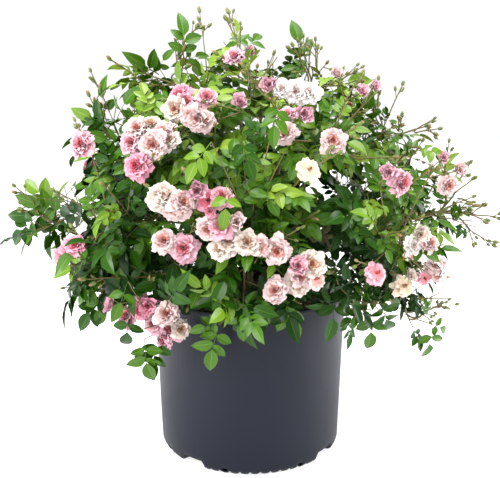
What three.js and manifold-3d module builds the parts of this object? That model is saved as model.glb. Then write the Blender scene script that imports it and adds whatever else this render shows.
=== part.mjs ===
import * as THREE from "three";
import { mergeVertices } from "three/addons/utils/BufferGeometryUtils.js";
import Module from "manifold-3d";

// A small-flowered shrub rose in its nursery pot. Millimetres, +Z up. The origin is the centre
// of the pot's underside, and the fullest flowering side looks along -Y. Azimuth 0 is +X.

const wasm = await Module();
wasm.setup();

// Pot
const potHeight = 225;
const potRimRadius = 140;
const potBaseRadius = 131;
const potWall = 2.6;
const potFloor = 3;
const potSides = 28;
const rimLip = 2.4;
const rimLipHeight = 6;
const baseRounding = 13;
const footRingInner = 98;
const footLift = 4;
const padRadius = 46;
const archWidth = 38;
const archHeight = 9;
const drainWidth = 9;
const drainHeight = 12;
const drainOffset = 22;
const archCount = 4;
const archTaper = 0.35;
const firstArch = 233;

// Potting mix and the woody crown that the canes spring from
const mixDepthBelowRim = 20;
const mixTop = potHeight - mixDepthBelowRim;
const crownRadius = 25;
const crownHeight = 24;
const seat = 0.3;

// Crown of the bush: the furthest side sprigs, and how deep it is for its width
const halfWidth = 349;
const depthShare = 0.78;
const middleHeight = 372;
const bloomHalfWidth = 300;
const bloomHalfHeight = 222;

// Limbs
const caneRing = 20;
const caneFootRadius = 4.6;
const caneTipRadius = 2.4;
const boughFootRadius = 3;
const boughTipRadius = 1.9;
const stemFootRadius = 1.9;
const twigFootRadius = 1.3;
const twigTipRadius = 0.8;
const limbSides = 5;
const limbSteps = 6;
const sharedCaneCost = 10;
const goldenAngle = THREE.MathUtils.degToRad(137.5);

// Leaves and blooms, larger than life because each leaf stands for a spray of leaflets
const leafLength = 84;
const leafWidth = 54;
const leafThickness = 1.8;
const leafShrink = [1, 0.8, 0.64];
const endLeaf = 0.72;
const leafRootSunk = 0.4;
const bloomRadius = 21;
const bloomDepth = 15;
const bloomSides = 8;
const lateralCount = 4;
const lateralLength = 74;
const stemSteps = 3;
const trussSpread = 1.12;
const bladeRoom = 11;
const spaceMargin = 0.6;
const limbClearance = 1.2;
const potClearance = 4;
const floorClearance = 8;

// A mass's stem starts this far back from its middle, unless its space is smaller
const entryReach = 84;
const entryStep = 4;
const entryRoom = 6;
const crownDomeHeight = 2;

// Each tier is a ring of foliage masses round the bush. A mass has its middle at `out` and
// `height`, and its furthest sprig at its own tipOut and tipHeight. Its bough leaves a cane at
// forkStep of the cane's straight pieces, and comes in from above or below by entryRise.
const tiers = [
  {
    name: "skirt",
    limb: "bough",
    azimuths: [25, 70, 115, 160, 203, 240, 268, 304, 342],
    out: 206,
    height: 238,
    tipOut: [274, 258, 250, 278, 256, 252, 238, 244, 266],
    tipHeight: [165, 150, 140, 170, 186, 140, 186, 170, 128],
    forkStep: 4,
    entryRise: 30,
  },
  {
    name: "shoulder",
    limb: "cane",
    azimuths: [0, 45, 90, 135, 180, 225, 270, 315],
    out: 236,
    height: 338,
    tipOut: [349, 318, 326, 320, 347, 330, 318, 332],
    tipHeight: [336, 350, 330, 352, 297, 296, 318, 296],
    entryRise: -40,
  },
  {
    name: "crest",
    limb: "bough",
    azimuths: [0, 60, 120, 180, 240, 300],
    out: 168,
    height: 440,
    tipOut: [276, 262, 255, 264, 268, 270],
    tipHeight: [450, 455, 470, 446, 452, 440],
    forkStep: 3,
    entryRise: -40,
  },
  {
    name: "top",
    limb: "bough",
    azimuths: [0, 60, 100, 180, 270],
    out: 92,
    height: 515,
    tipOut: [190, 190, 120, 206, 180],
    tipHeight: [508, 604, 629, 541, 556],
    forkStep: 2,
    entryRise: -40,
  },
];
const heart = { name: "heart", azimuth: 90, out: 8, height: 372, tipOut: 30, tipHeight: 455 };

// Flower trusses on the flowering side, at an azimuth and a height, with a number of open blooms
const frontTrusses = [
  { azimuth: 219, height: 303, blooms: 2 },
  { azimuth: 226, height: 436, blooms: 1 },
  { azimuth: 223, height: 224, blooms: 2 },
  { azimuth: 241, height: 214, blooms: 3 },
  { azimuth: 244, height: 408, blooms: 1 },
  { azimuth: 247, height: 446, blooms: 3 },
  { azimuth: 254, height: 371, blooms: 3 },
  { azimuth: 254, height: 486, blooms: 2 },
  { azimuth: 252, height: 326, blooms: 2 },
  { azimuth: 265, height: 384, blooms: 2 },
  { azimuth: 265, height: 340, blooms: 3 },
  { azimuth: 263, height: 540, blooms: 1 },
  { azimuth: 276, height: 322, blooms: 2 },
  { azimuth: 281, height: 284, blooms: 3 },
  { azimuth: 282, height: 496, blooms: 3 },
  { azimuth: 281, height: 466, blooms: 2 },
  { azimuth: 289, height: 440, blooms: 1 },
  { azimuth: 304, height: 288, blooms: 1 },
  { azimuth: 307, height: 395, blooms: 1 },
  { azimuth: 319, height: 261, blooms: 1 },
  { azimuth: 325, height: 385, blooms: 1 },
  { azimuth: 329, height: 288, blooms: 3 },
];

// The far side flowers by rule, on the same surface
const backTrussCount = 12;
const backFrom = 8;
const backTo = 192;
const backLow = 250;
const backHigh = 520;

const up = new THREE.Vector3(0, 0, 1);

// A repeatable stream of numbers from 0 to 1
function makeRandom(seed) {
  let state = seed >>> 0;
  return () => {
    state = (state + 0x6d2b79f5) >>> 0;
    let mixed = Math.imul(state ^ (state >>> 15), state | 1);
    mixed ^= mixed + Math.imul(mixed ^ (mixed >>> 7), mixed | 61);
    return ((mixed ^ (mixed >>> 14)) >>> 0) / 4294967296;
  };
}

function aroundBush(azimuth, out, height) {
  const angle = THREE.MathUtils.degToRad(azimuth);
  return new THREE.Vector3(out * Math.cos(angle), depthShare * out * Math.sin(angle), height);
}

function bloomPoint(azimuth, height) {
  const rise = (height - middleHeight) / bloomHalfHeight;
  return aroundBush(azimuth, bloomHalfWidth * Math.sqrt(Math.max(0.05, 1 - rise * rise)), height);
}

// ---- solids from three.js geometry

function solidOf(geometry) {
  const bare = geometry.clone();
  bare.deleteAttribute("normal");
  bare.deleteAttribute("uv");
  const merged = mergeVertices(bare, 1e-4);
  return new wasm.Manifold(
    new wasm.Mesh({
      numProp: 3,
      vertProperties: merged.attributes.position.array,
      triVerts: new Uint32Array(merged.index.array),
    }),
  );
}

function geometryOf(solid) {
  const mesh = solid.getMesh();
  const geometry = new THREE.BufferGeometry();
  geometry.setAttribute("position", new THREE.BufferAttribute(mesh.vertProperties, mesh.numProp));
  geometry.setIndex(new THREE.BufferAttribute(mesh.triVerts, 1));
  geometry.computeVertexNormals();
  return geometry;
}

// The largest body of a solid, with any hollow that fusing sealed filled and loose scraps dropped
function largestBody(solid) {
  return solid.decompose().reduce((best, body) => (body.volume() > best.volume() ? body : best));
}

function fuse(solids) {
  return largestBody(wasm.Manifold.union(solids));
}

function latheSolid(profile, sides) {
  const outline = profile.map(([radius, height]) => new THREE.Vector2(radius, height));
  const geometry = new THREE.LatheGeometry(outline, sides);
  geometry.rotateX(Math.PI / 2);
  return solidOf(geometry);
}

// A prism bent along a curve, tapering from its foot to its tip
function limbSolid(curve, footRadius, tipRadius, sides, steps) {
  const corners = Array.from({ length: sides }, (_, i) => {
    const angle = (2 * Math.PI * i) / sides;
    return new THREE.Vector2(Math.cos(angle), Math.sin(angle));
  });
  const geometry = new THREE.ExtrudeGeometry(new THREE.Shape(corners), {
    depth: steps,
    steps,
    bevelEnabled: false,
  });
  const frames = curve.computeFrenetFrames(steps);
  const place = geometry.attributes.position;
  for (let i = 0; i < place.count; i += 1) {
    const step = Math.round(place.getZ(i));
    const radius = THREE.MathUtils.lerp(footRadius, tipRadius, step / steps);
    const point = curve
      .getPointAt(step / steps)
      .addScaledVector(frames.normals[step], radius * place.getX(i))
      .addScaledVector(frames.binormals[step], radius * place.getY(i));
    place.setXYZ(i, point.x, point.y, point.z);
  }
  return solidOf(geometry);
}

// A point on a twig's straight pieces, which are chords of its curve
function onTwig(curve, at, steps) {
  const step = Math.min(Math.floor(at * steps), steps - 1);
  const from = curve.getPointAt(step / steps);
  return from.lerp(curve.getPointAt((step + 1) / steps), at * steps - step);
}

// ---- distances

function distanceToSegment(point, from, to) {
  const line = new THREE.Line3(from, to);
  return line.closestPointToPoint(point, true, new THREE.Vector3()).distanceTo(point);
}

function alongLine(from, to, count) {
  return Array.from({ length: count + 1 }, (_, i) => from.clone().lerp(to, i / count));
}

// ---- pot

function arcPoints(centreRadius, centreHeight, radius, fromDegrees, toDegrees, count) {
  return Array.from({ length: count + 1 }, (_, i) => {
    const angle = THREE.MathUtils.degToRad(fromDegrees + ((toDegrees - fromDegrees) * i) / count);
    return [centreRadius + radius * Math.cos(angle), centreHeight + radius * Math.sin(angle)];
  });
}

function potInnerRadius(height) {
  const share = (height - baseRounding) / (potHeight - baseRounding);
  return potBaseRadius + (potRimRadius - rimLip - potBaseRadius) * share - potWall;
}

// A tapered cutter through the foot ring and the rounded corner
function notchSolid(azimuth, width, height) {
  const depth = 2 * (potBaseRadius - footRingInner);
  const arch = new THREE.Shape();
  arch.moveTo(-width / 2, -footLift);
  arch.lineTo(width / 2, -footLift);
  arch.lineTo(width / 2 - height * archTaper, height);
  arch.lineTo(-width / 2 + height * archTaper, height);
  arch.closePath();
  const geometry = new THREE.ExtrudeGeometry(arch, { depth, bevelEnabled: false });
  geometry.translate(0, 0, footRingInner + footLift);
  geometry.rotateX(Math.PI / 2);
  geometry.rotateZ(THREE.MathUtils.degToRad(azimuth + 90));
  return solidOf(geometry);
}

function potNotches() {
  const notches = [];
  const between = 360 / archCount;
  for (let n = 0; n < archCount; n += 1) {
    const arch = firstArch + n * between;
    notches.push(notchSolid(arch, archWidth, archHeight));
    notches.push(notchSolid(arch - drainOffset, drainWidth, drainHeight));
    notches.push(notchSolid(arch + drainOffset, drainWidth, drainHeight));
  }
  return notches;
}

function potSolid() {
  const outerTop = potRimRadius - rimLip;
  const innerCorner = potInnerRadius(baseRounding + potFloor);
  const profile = [
    [0, 0],
    [padRadius, 0],
    [padRadius + footLift, footLift],
    [footRingInner - footLift, footLift],
    [footRingInner, 0],
    ...arcPoints(potBaseRadius - baseRounding, baseRounding, baseRounding, -90, 0, 2),
    [outerTop, potHeight - rimLipHeight],
    [potRimRadius, potHeight - rimLipHeight],
    [potRimRadius - 0.6, potHeight],
    [potInnerRadius(potHeight), potHeight],
    [innerCorner, baseRounding + potFloor],
    [innerCorner - baseRounding + potFloor, footLift + potFloor],
    [0, footLift + potFloor],
  ];
  const shell = latheSolid(profile, potSides);
  return largestBody(shell.subtract(wasm.Manifold.union(potNotches())));
}

function mixSolid() {
  const floor = footLift + potFloor + seat;
  const corner = baseRounding + potFloor;
  const profile = [
    [0, floor],
    [potInnerRadius(corner) - baseRounding + potFloor - seat, floor],
    [potInnerRadius(corner) - 2 * seat, corner],
    [potInnerRadius(mixTop) - 2 * seat, mixTop - 4],
    [potInnerRadius(mixTop) - 12, mixTop],
    [0, mixTop],
  ];
  return latheSolid(profile, potSides / 2);
}

function crownSolid(grow) {
  const foot = mixTop + seat;
  const profile = [
    [0, foot],
    [crownRadius + grow, foot],
    [crownRadius - 3 + grow, foot + crownHeight * 0.45],
    [crownRadius - 1 + grow, foot + crownHeight * 0.8],
    [crownRadius - 8 + grow, foot + crownHeight + grow],
    [0, foot + crownHeight + crownDomeHeight + grow],
  ];
  return latheSolid(profile, 12);
}

// ---- the masses' own spaces

function massList() {
  const masses = tiers.flatMap((tier, t) =>
    tier.azimuths.map((azimuth, i) => ({
      name: `foliage_${tier.name}_${i + 1}`,
      limbName: `${tier.limb}_${tier.limb === "cane" ? "" : tier.name + "_"}${i + 1}`,
      tier,
      azimuth,
      middle: aroundBush(azimuth, tier.out, tier.height),
      tip: aroundBush(azimuth, tier.tipOut[i], tier.tipHeight[i]),
      seed: 100 * (t + 1) + i,
    })),
  );
  masses.push({
    name: `foliage_${heart.name}`,
    tier: null,
    azimuth: heart.azimuth,
    middle: aroundBush(heart.azimuth, heart.out, heart.height),
    tip: aroundBush(heart.azimuth, heart.tipOut, heart.tipHeight),
    seed: 900,
  });
  return masses;
}

// How far a point lies inside a mass's own space, which ends halfway to each neighbour
function insideOwnSpace(point, mass, masses) {
  let room = Infinity;
  for (const other of masses) {
    if (other === mass) continue;
    const apart = other.middle.distanceTo(mass.middle);
    const lead = point.distanceToSquared(other.middle) - point.distanceToSquared(mass.middle);
    room = Math.min(room, lead / (2 * apart));
  }
  return room;
}

function clearOfPot(point) {
  const out = Math.hypot(point.x, point.y);
  if (point.z < floorClearance) return false;
  if (point.z > potHeight + potClearance || out > potRimRadius + potClearance) return true;
  return point.z > mixTop + potClearance && out < potInnerRadius(mixTop) - potClearance;
}

function fits(points, mass, masses) {
  return points.every(
    (point) =>
      insideOwnSpace(point, mass, masses) > spaceMargin &&
      Math.abs(point.x) < halfWidth &&
      clearOfPot(point),
  );
}

// ---- limbs

// Where a mass's stem starts: back from its middle towards the bush, as far as its space goes
function entryPoint(mass, masses) {
  const back = mass.middle.clone().sub(mass.tip);
  back.z += mass.tier ? mass.tier.entryRise : 0;
  back.normalize();
  let entry = mass.middle.clone();
  for (let step = entryStep; step <= entryReach; step += entryStep) {
    const next = mass.middle.clone().addScaledVector(back, step);
    if (insideOwnSpace(next, mass, masses) < entryRoom || !clearOfPot(next)) break;
    entry = next;
  }
  return entry;
}

// The way a bough is heading where its mass begins
function arrival(mass) {
  return mass.middle.clone().sub(mass.entry).normalize();
}

function caneCurve(mass) {
  const foot = aroundBush(mass.azimuth, caneRing, mixTop + crownHeight * 0.7);
  foot.y /= depthShare;
  const rise = aroundBush(mass.azimuth, caneRing + 26, mixTop + crownHeight + 70);
  const sweep = mass.entry.clone().addScaledVector(arrival(mass), -70);
  return new THREE.CubicBezierCurve3(foot, rise, sweep, mass.entry.clone());
}

function boughCurve(mass, cane) {
  const shared = cane.forks.filter((tier) => tier === mass.tier).length - 1;
  const forkAt = (mass.tier.forkStep + shared) / limbSteps;
  const from = cane.curve.getPointAt(forkAt);
  const length = from.distanceTo(mass.entry);
  const leave = cane.curve.getTangentAt(forkAt);
  leave.multiplyScalar(0.6).addScaledVector(mass.entry.clone().sub(from).normalize(), 0.6);
  const bend = from.clone().addScaledVector(leave.normalize(), length * 0.35);
  const sweep = mass.entry.clone().addScaledVector(arrival(mass), -length * 0.33);
  return new THREE.CubicBezierCurve3(from, bend, sweep, mass.entry.clone());
}

// The cane that a bough springs from: the nearest one that carries no bough of its tier yet
function nearestCane(mass, canes) {
  const cost = (cane) => {
    const turn = Math.abs(((mass.azimuth - cane.mass.azimuth + 540) % 360) - 180);
    return turn + sharedCaneCost * cane.forks.filter((tier) => tier === mass.tier).length;
  };
  const nearest = canes.reduce((best, cane) => (cost(cane) < cost(best) ? cane : best));
  nearest.forks.push(mass.tier);
  return nearest;
}

function growLimbs(masses) {
  const crown = crownSolid(seat);
  const canes = masses
    .filter((mass) => mass.tier && mass.tier.limb === "cane")
    .map((mass) => {
      const curve = caneCurve(mass);
      const whole = limbSolid(curve, caneFootRadius, caneTipRadius, limbSides, limbSteps);
      return { mass, curve, foot: caneFootRadius, forks: [], solid: largestBody(whole.subtract(crown)) };
    });
  const boughs = masses
    .filter((mass) => mass.tier && mass.tier.limb === "bough")
    .map((mass) => {
      const cane = nearestCane(mass, canes);
      const curve = boughCurve(mass, cane);
      const bark = limbSolid(cane.curve, caneFootRadius + seat, caneTipRadius + seat, limbSides, limbSteps);
      const whole = limbSolid(curve, boughFootRadius, boughTipRadius, limbSides, limbSteps - 2);
      return { mass, curve, foot: boughFootRadius, solid: largestBody(whole.subtract(bark)) };
    });
  return [...canes, ...boughs];
}

function clearOfLimbs(points, reach, limbs) {
  return limbs.every((limb) => {
    const line = limb.line;
    return points.every((point) => {
      for (let i = 0; i + 1 < line.length; i += 1) {
        const room = distanceToSegment(point, line[i], line[i + 1]);
        if (room < reach + limb.foot + limbClearance) return false;
      }
      return true;
    });
  });
}

// ---- leaves and blooms

// A leaf blade of eight faces: folded up along its midrib, widest before its middle
function leafSolid(root, direction, face, length, width) {
  const blade = new THREE.OctahedronGeometry(1);
  const side = new THREE.Vector3().crossVectors(face, direction).normalize();
  const top = new THREE.Vector3().crossVectors(direction, side).normalize();
  const place = blade.attributes.position;
  for (let i = 0; i < place.count; i += 1) {
    const [x, y, z] = [place.getX(i), place.getY(i), place.getZ(i)];
    const along = Math.abs(x) > 0.5 ? (x + 1) / 2 : 0.43;
    const lift = Math.abs(y) * width * 0.16 - (x > 0.5 ? length * 0.1 : 0);
    const point = root
      .clone()
      .addScaledVector(direction, along * length)
      .addScaledVector(side, (y * width) / 2)
      .addScaledVector(top, lift + (z * leafThickness) / 2);
    place.setXYZ(i, point.x, point.y, point.z);
  }
  return solidOf(blade);
}

// A rosette: a wide scalloped rim of petals round a hollow heart
function bloomSolid(from, facing) {
  const profile = [
    [0, -3],
    [bloomRadius, bloomDepth * 0.55],
    [bloomRadius * 0.52, bloomDepth],
    [0, bloomDepth * 0.7],
  ];
  const outline = profile.map(([radius, height]) => new THREE.Vector2(radius, height));
  const rosette = new THREE.LatheGeometry(outline, bloomSides);
  const place = rosette.attributes.position;
  const turn = new THREE.Quaternion().setFromUnitVectors(new THREE.Vector3(0, 1, 0), facing);
  for (let i = 0; i < place.count; i += 1) {
    const ring = Math.round((Math.atan2(place.getZ(i), place.getX(i)) * bloomSides) / (2 * Math.PI));
    const scallop = ring % 2 === 0 ? 1 : 0.84;
    const point = new THREE.Vector3(place.getX(i) * scallop, place.getY(i), place.getZ(i) * scallop);
    point.applyQuaternion(turn).add(from);
    place.setXYZ(i, point.x, point.y, point.z);
  }
  return solidOf(rosette);
}

// ---- growing one mass

// The blooms of a truss round the end of its spur, which looks along facing
function trussBlooms(truss, spurEnd, facing) {
  const across = new THREE.Vector3().crossVectors(up, facing).normalize();
  const over = new THREE.Vector3().crossVectors(facing, across);
  const shift = truss.blooms > 1 ? bloomRadius * trussSpread : 0;
  return Array.from({ length: truss.blooms }, (_, n) => {
    const turn = (2 * Math.PI * n) / truss.blooms + truss.azimuth;
    const offset = across.clone().multiplyScalar(shift * Math.cos(turn));
    offset.addScaledVector(over, shift * Math.sin(turn));
    const foot = spurEnd.clone().add(offset).addScaledVector(facing, -shift * 0.15);
    return { foot, way: facing.clone().addScaledVector(offset, 0.014).normalize() };
  });
}

function bloomOutline(bloom) {
  const rimMiddle = bloom.foot.clone().addScaledVector(bloom.way, bloomDepth * 0.55);
  const side = new THREE.Vector3().crossVectors(up, bloom.way).setLength(bloomRadius);
  const spokes = [0, 1, 2, 3].map((k) => side.clone().applyAxisAngle(bloom.way, (k * Math.PI) / 2));
  const rim = spokes.map((spoke) => rimMiddle.clone().add(spoke));
  return [bloom.foot, bloom.foot.clone().addScaledVector(bloom.way, bloomDepth), ...rim];
}

function growMass(mass, masses, limbs, trusses) {
  const random = makeRandom(mass.seed);
  const outward = mass.middle.clone().sub(new THREE.Vector3(0, 0, middleHeight - 90)).normalize();
  const light = outward.clone().multiplyScalar(0.8).addScaledVector(up, 0.5).normalize();
  const parts = [];
  const taken = [];

  const roomFor = (points, room) =>
    taken.every((other) => points.every((point) => point.distanceTo(other.point) > room + other.room));

  const tryLeaf = (from, direction, face, scale) => {
    const length = leafLength * scale;
    const width = leafWidth * scale;
    const root = from.clone().addScaledVector(direction, -leafRootSunk);
    const rib = alongLine(root, root.clone().addScaledVector(direction, length), 4).slice(1);
    const side = new THREE.Vector3().crossVectors(face, direction).normalize();
    const edges = [-1, 1].map((hand) => rib[1].clone().addScaledVector(side, (hand * width) / 2));
    const drooped = rib[3].clone().addScaledVector(face, -length * 0.12);
    if (!fits([...rib, ...edges, drooped], mass, masses)) return false;
    if (!clearOfLimbs(rib, width / 2, limbs) || !roomFor(rib, bladeRoom / 2)) return false;
    parts.push(leafSolid(root, direction, face, length, width));
    taken.push(...rib.slice(1).map((point) => ({ point, room: bladeRoom / 2 })));
    return true;
  };

  // A leaf facing out and up, at its full size or smaller where that would leave the space
  const addLeaf = (from, direction, scale) => {
    const lean = random();
    const face = outward.clone().multiplyScalar(0.4 + lean).addScaledVector(up, 0.8 - 0.6 * lean);
    face.addScaledVector(direction, -0.6 * face.dot(direction)).normalize();
    leafShrink.some((shrink) => tryLeaf(from, direction, face, scale * shrink));
  };

  const leafAside = (curve, steps, at, hand, scale) => {
    const from = onTwig(curve, at, steps);
    const ahead = curve.getTangentAt(at);
    const aside = new THREE.Vector3().crossVectors(ahead, light).normalize();
    const lean = aside.multiplyScalar(hand).addScaledVector(ahead, 0.6).addScaledVector(up, -0.12);
    addLeaf(from, lean.normalize(), scale);
  };

  // The stem runs from the bough's tip to the furthest sprig
  const ahead = mass.tip.clone().sub(mass.middle).normalize();
  const stemEnd = mass.tip.clone().addScaledVector(ahead, -leafLength * endLeaf);
  const stemStart = mass.entry.clone().addScaledVector(arrival(mass), seat);
  const stemBend = mass.entry.clone().lerp(mass.middle, 0.7);
  const stem = new THREE.QuadraticBezierCurve3(stemStart, stemBend, stemEnd);
  parts.push(limbSolid(stem, stemFootRadius, twigTipRadius, 3, stemSteps));

  // Flowering spurs reach the trusses that lie in this mass's own space
  for (const truss of trusses) {
    const place = bloomPoint(truss.azimuth, truss.height);
    if (insideOwnSpace(place, mass, masses) < spaceMargin) continue;
    const facing = place.clone().sub(new THREE.Vector3(0, 0, middleHeight - 60)).normalize();
    const end = place.clone().addScaledVector(facing, -bloomDepth);
    const blooms = trussBlooms(truss, end, facing).filter(
      (bloom) => fits(bloomOutline(bloom), mass, masses) && roomFor([bloom.foot], bloomRadius),
    );
    if (!blooms.length) continue;
    const starts = [0.3, 0.45, 0.6, 0.75, 0.9].map((at) => onTwig(stem, at, stemSteps));
    const from = starts.reduce((best, p) => (p.distanceTo(end) < best.distanceTo(end) ? p : best));
    const parting = truss.blooms > 1 ? bloomRadius * 0.5 : 0;
    const spurEnd = end.clone().addScaledVector(facing, -parting);
    parts.push(limbSolid(new THREE.LineCurve3(from, spurEnd), twigFootRadius, twigTipRadius + 0.3, 3, 1));
    for (const bloom of blooms) {
      if (parting) {
        const inside = bloom.foot.clone().addScaledVector(bloom.way, 1);
        parts.push(limbSolid(new THREE.LineCurve3(spurEnd, inside), twigTipRadius, twigTipRadius, 3, 1));
      }
      parts.push(bloomSolid(bloom.foot, bloom.way));
      const heart = bloom.foot.clone().addScaledVector(bloom.way, bloomDepth * 0.5);
      taken.push({ point: heart, room: bloomRadius });
    }
  }

  addLeaf(onTwig(stem, 0.97, stemSteps), ahead, endLeaf);
  for (const hand of [-1, 1]) leafAside(stem, stemSteps, 0.66 + 0.1 * hand, hand, 0.9);

  // Leafy laterals leave the stem at the golden angle, shorter towards its tip
  for (let n = 0; n < lateralCount; n += 1) {
    const at = 0.12 + (0.66 * n) / (lateralCount - 1);
    const from = onTwig(stem, at, stemSteps);
    const axis = stem.getTangentAt(at);
    const across = new THREE.Vector3().crossVectors(axis, up).normalize();
    across.applyAxisAngle(axis, goldenAngle * n + random());
    const heading = across.addScaledVector(axis, 0.45).addScaledVector(light, 0.35).normalize();
    const full = lateralLength * (1.1 - 0.45 * at) * (0.85 + 0.3 * random());
    for (const share of [1, 0.75, 0.5]) {
      const lateral = new THREE.LineCurve3(from, from.clone().addScaledVector(heading, full * share));
      const points = lateral.getPoints(6).slice(1);
      if (!fits(points, mass, masses) || !roomFor(points.slice(1), 2)) continue;
      if (!clearOfLimbs(points, twigFootRadius, limbs)) continue;
      parts.push(limbSolid(lateral, twigFootRadius, twigTipRadius, 3, 1));
      addLeaf(onTwig(lateral, 0.93, 1), heading, 0.95);
      for (const hand of [-1, 1]) leafAside(lateral, 1, 0.5 - 0.08 * hand, hand, 0.8);
      break;
    }
  }
  return fuse(parts);
}

function allTrusses() {
  const back = Array.from({ length: backTrussCount }, (_, i) => ({
    azimuth: backFrom + ((backTo - backFrom) * (i + 0.5)) / backTrussCount,
    height: backLow + (backHigh - backLow) * ((i * 0.618) % 1),
    blooms: 1 + ((i * 5) % 3),
  }));
  return [...frontTrusses, ...back];
}

// ---- materials and the finished bush

const potPlastic = new THREE.MeshStandardMaterial({ color: 0x3c3d47, roughness: 0.45, metalness: 0 });
const barkMix = new THREE.MeshStandardMaterial({ color: 0x3a2a1e, roughness: 0.95, metalness: 0 });
const oldWood = new THREE.MeshStandardMaterial({ color: 0x6b5138, roughness: 0.85, metalness: 0 });
const greenWood = new THREE.MeshStandardMaterial({ color: 0x4d6b2c, roughness: 0.6, metalness: 0 });
const leafGreen = new THREE.MeshStandardMaterial({ color: 0x3f7d23, roughness: 0.5, metalness: 0 });

function namedMesh(name, solid, material) {
  const mesh = new THREE.Mesh(geometryOf(solid), material);
  mesh.name = name;
  return mesh;
}

function buildRoseBush() {
  const bush = new THREE.Group();
  bush.add(namedMesh("pot", potSolid(), potPlastic));
  bush.add(namedMesh("potting_mix", mixSolid(), barkMix));
  bush.add(namedMesh("woody_crown", crownSolid(0), oldWood));

  const masses = massList();
  for (const mass of masses) mass.entry = entryPoint(mass, masses);
  // The heart's stem stands on the woody crown itself
  const heartMass = masses[masses.length - 1];
  heartMass.entry = new THREE.Vector3(0, 0, mixTop + crownHeight + crownDomeHeight + seat);

  const limbs = growLimbs(masses);
  for (const limb of limbs) {
    limb.line = limb.curve.getSpacedPoints(10);
    bush.add(namedMesh(limb.mass.limbName, limb.solid, greenWood));
  }
  const trusses = allTrusses();
  for (const mass of masses) {
    bush.add(namedMesh(mass.name, growMass(mass, masses, limbs, trusses), leafGreen));
  }
  return bush;
}

export default buildRoseBush();
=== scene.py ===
import math
import random

import bmesh
import bpy
import numpy as np
from mathutils import Matrix, Vector, noise


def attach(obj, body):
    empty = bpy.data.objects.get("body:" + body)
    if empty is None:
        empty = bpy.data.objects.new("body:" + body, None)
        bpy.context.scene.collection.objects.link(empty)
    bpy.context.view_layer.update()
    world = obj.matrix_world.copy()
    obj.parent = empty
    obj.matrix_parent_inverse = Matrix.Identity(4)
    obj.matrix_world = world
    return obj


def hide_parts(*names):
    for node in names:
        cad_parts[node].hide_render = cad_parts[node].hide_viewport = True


# A potted rose bush. Growth is worked out in millimetres and turned into metres as meshes are made.

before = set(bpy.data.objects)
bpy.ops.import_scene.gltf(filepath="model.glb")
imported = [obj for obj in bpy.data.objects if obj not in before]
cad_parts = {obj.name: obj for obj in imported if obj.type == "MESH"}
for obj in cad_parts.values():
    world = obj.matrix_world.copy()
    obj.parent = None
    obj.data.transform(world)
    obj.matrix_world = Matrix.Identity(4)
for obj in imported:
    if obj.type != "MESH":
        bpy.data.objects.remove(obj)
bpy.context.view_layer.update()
mm = 0.001
up = Vector((0, 0, 1))
noise.seed_set(5)  # without a seed, noise vectors differ from run to run


def ramp(value):  # held between 0 and 1
    return min(1, max(0, value))


def shown(thing):
    bpy.context.scene.collection.objects.link(thing)
    return thing


# The camera.
view = {"place": (0, -0.9, 0.451), "tilt": 80.2, "lens": 45.6, "sensor": 36}

cameraData = bpy.data.cameras.new("viewer")
cameraData.lens = view["lens"]
cameraData.sensor_width = view["sensor"]
cameraData.sensor_fit = "HORIZONTAL"
viewer = shown(bpy.data.objects.new("viewer", cameraData))
viewer.location = view["place"]
viewer.rotation_euler = (math.radians(view["tilt"]), 0, 0)
bpy.context.scene.camera = viewer
bpy.context.scene.view_settings.view_transform = "Standard"


# Shader maths and the finishes that several pieces share.
def paint(red, green, blue):
    # a screen colour as the linear one that shaders take
    linear = [c / 3294.6 if c <= 10 else ((c / 255 + 0.055) / 1.055) ** 2.4 for c in (red, green, blue)]
    return (*linear, 1)


class Wire:  # one socket, so that sums on values read as plain maths
    def __init__(self, tree, socket):
        self.tree, self.socket = tree, socket

    def sum(self, other, operation, turned=False):
        made = self.tree.nodes.new("ShaderNodeMath")
        made.operation = operation
        for place, value in enumerate((other, self) if turned else (self, other)):
            plug(self.tree, value, made.inputs[place])
        return Wire(self.tree, made.outputs[0])

    def __add__(self, other):
        return self.sum(other, "ADD")

    def __sub__(self, other):
        return self.sum(other, "SUBTRACT")

    def __rsub__(self, other):
        return self.sum(other, "SUBTRACT", True)

    def __mul__(self, other):
        return self.sum(other, "MULTIPLY")

    __radd__, __rmul__ = __add__, __mul__


def plug(tree, value, socket):
    if isinstance(value, Wire):
        tree.links.new(value.socket, socket)
    else:
        socket.default_value = value


class Finish:  # a material with the few calls that its nodes need
    def __init__(self, name, **constants):
        self.material = bpy.data.materials.new(name)
        self.material.use_nodes = True
        self.tree = self.material.node_tree
        self.skin = self.tree.nodes["Principled BSDF"]
        self.spot = self.node("TexCoord", {}, {}, "Object")
        self.set(**constants)

    def node(self, kind, settings, sockets, output=0):
        made = self.tree.nodes.new("ShaderNode" + kind)
        for name, value in settings.items():
            if name != "stops":
                setattr(made, name, value)
                continue
            while len(made.color_ramp.elements) < len(value):
                made.color_ramp.elements.new(1)
            for element, (place, colour) in zip(made.color_ramp.elements, value):
                element.position, element.color = place, paint(*colour)
        for name, value in sockets.items():
            plug(self.tree, value, made.inputs[name])
        return Wire(self.tree, made.outputs[output])

    def set(self, **sockets):
        for name, value in sockets.items():
            plug(self.tree, value, self.skin.inputs[name.replace("_", " ")])
        return self

    def speckle(self, scale, detail=3, roughness=0.5, place=None):
        sockets = {"Vector": place or self.spot, "Scale": scale, "Detail": detail, "Roughness": roughness}
        return self.node("TexNoise", {}, sockets)

    def upright(self, share):
        # the spot with its height shortened, so that a speckle on it runs in upright streaks
        return self.node("Mapping", {}, {"Vector": self.spot, "Scale": (1, 1, share)})

    def blend(self, share, first, second):
        return self.node("Mix", {"data_type": "RGBA"}, {0: share, 6: paint(*first), 7: paint(*second)}, 2)

    def bump(self, height, distance):
        return self.set(Normal=self.node("Bump", {}, {"Height": height, "Distance": distance, "Strength": 1}))


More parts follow.
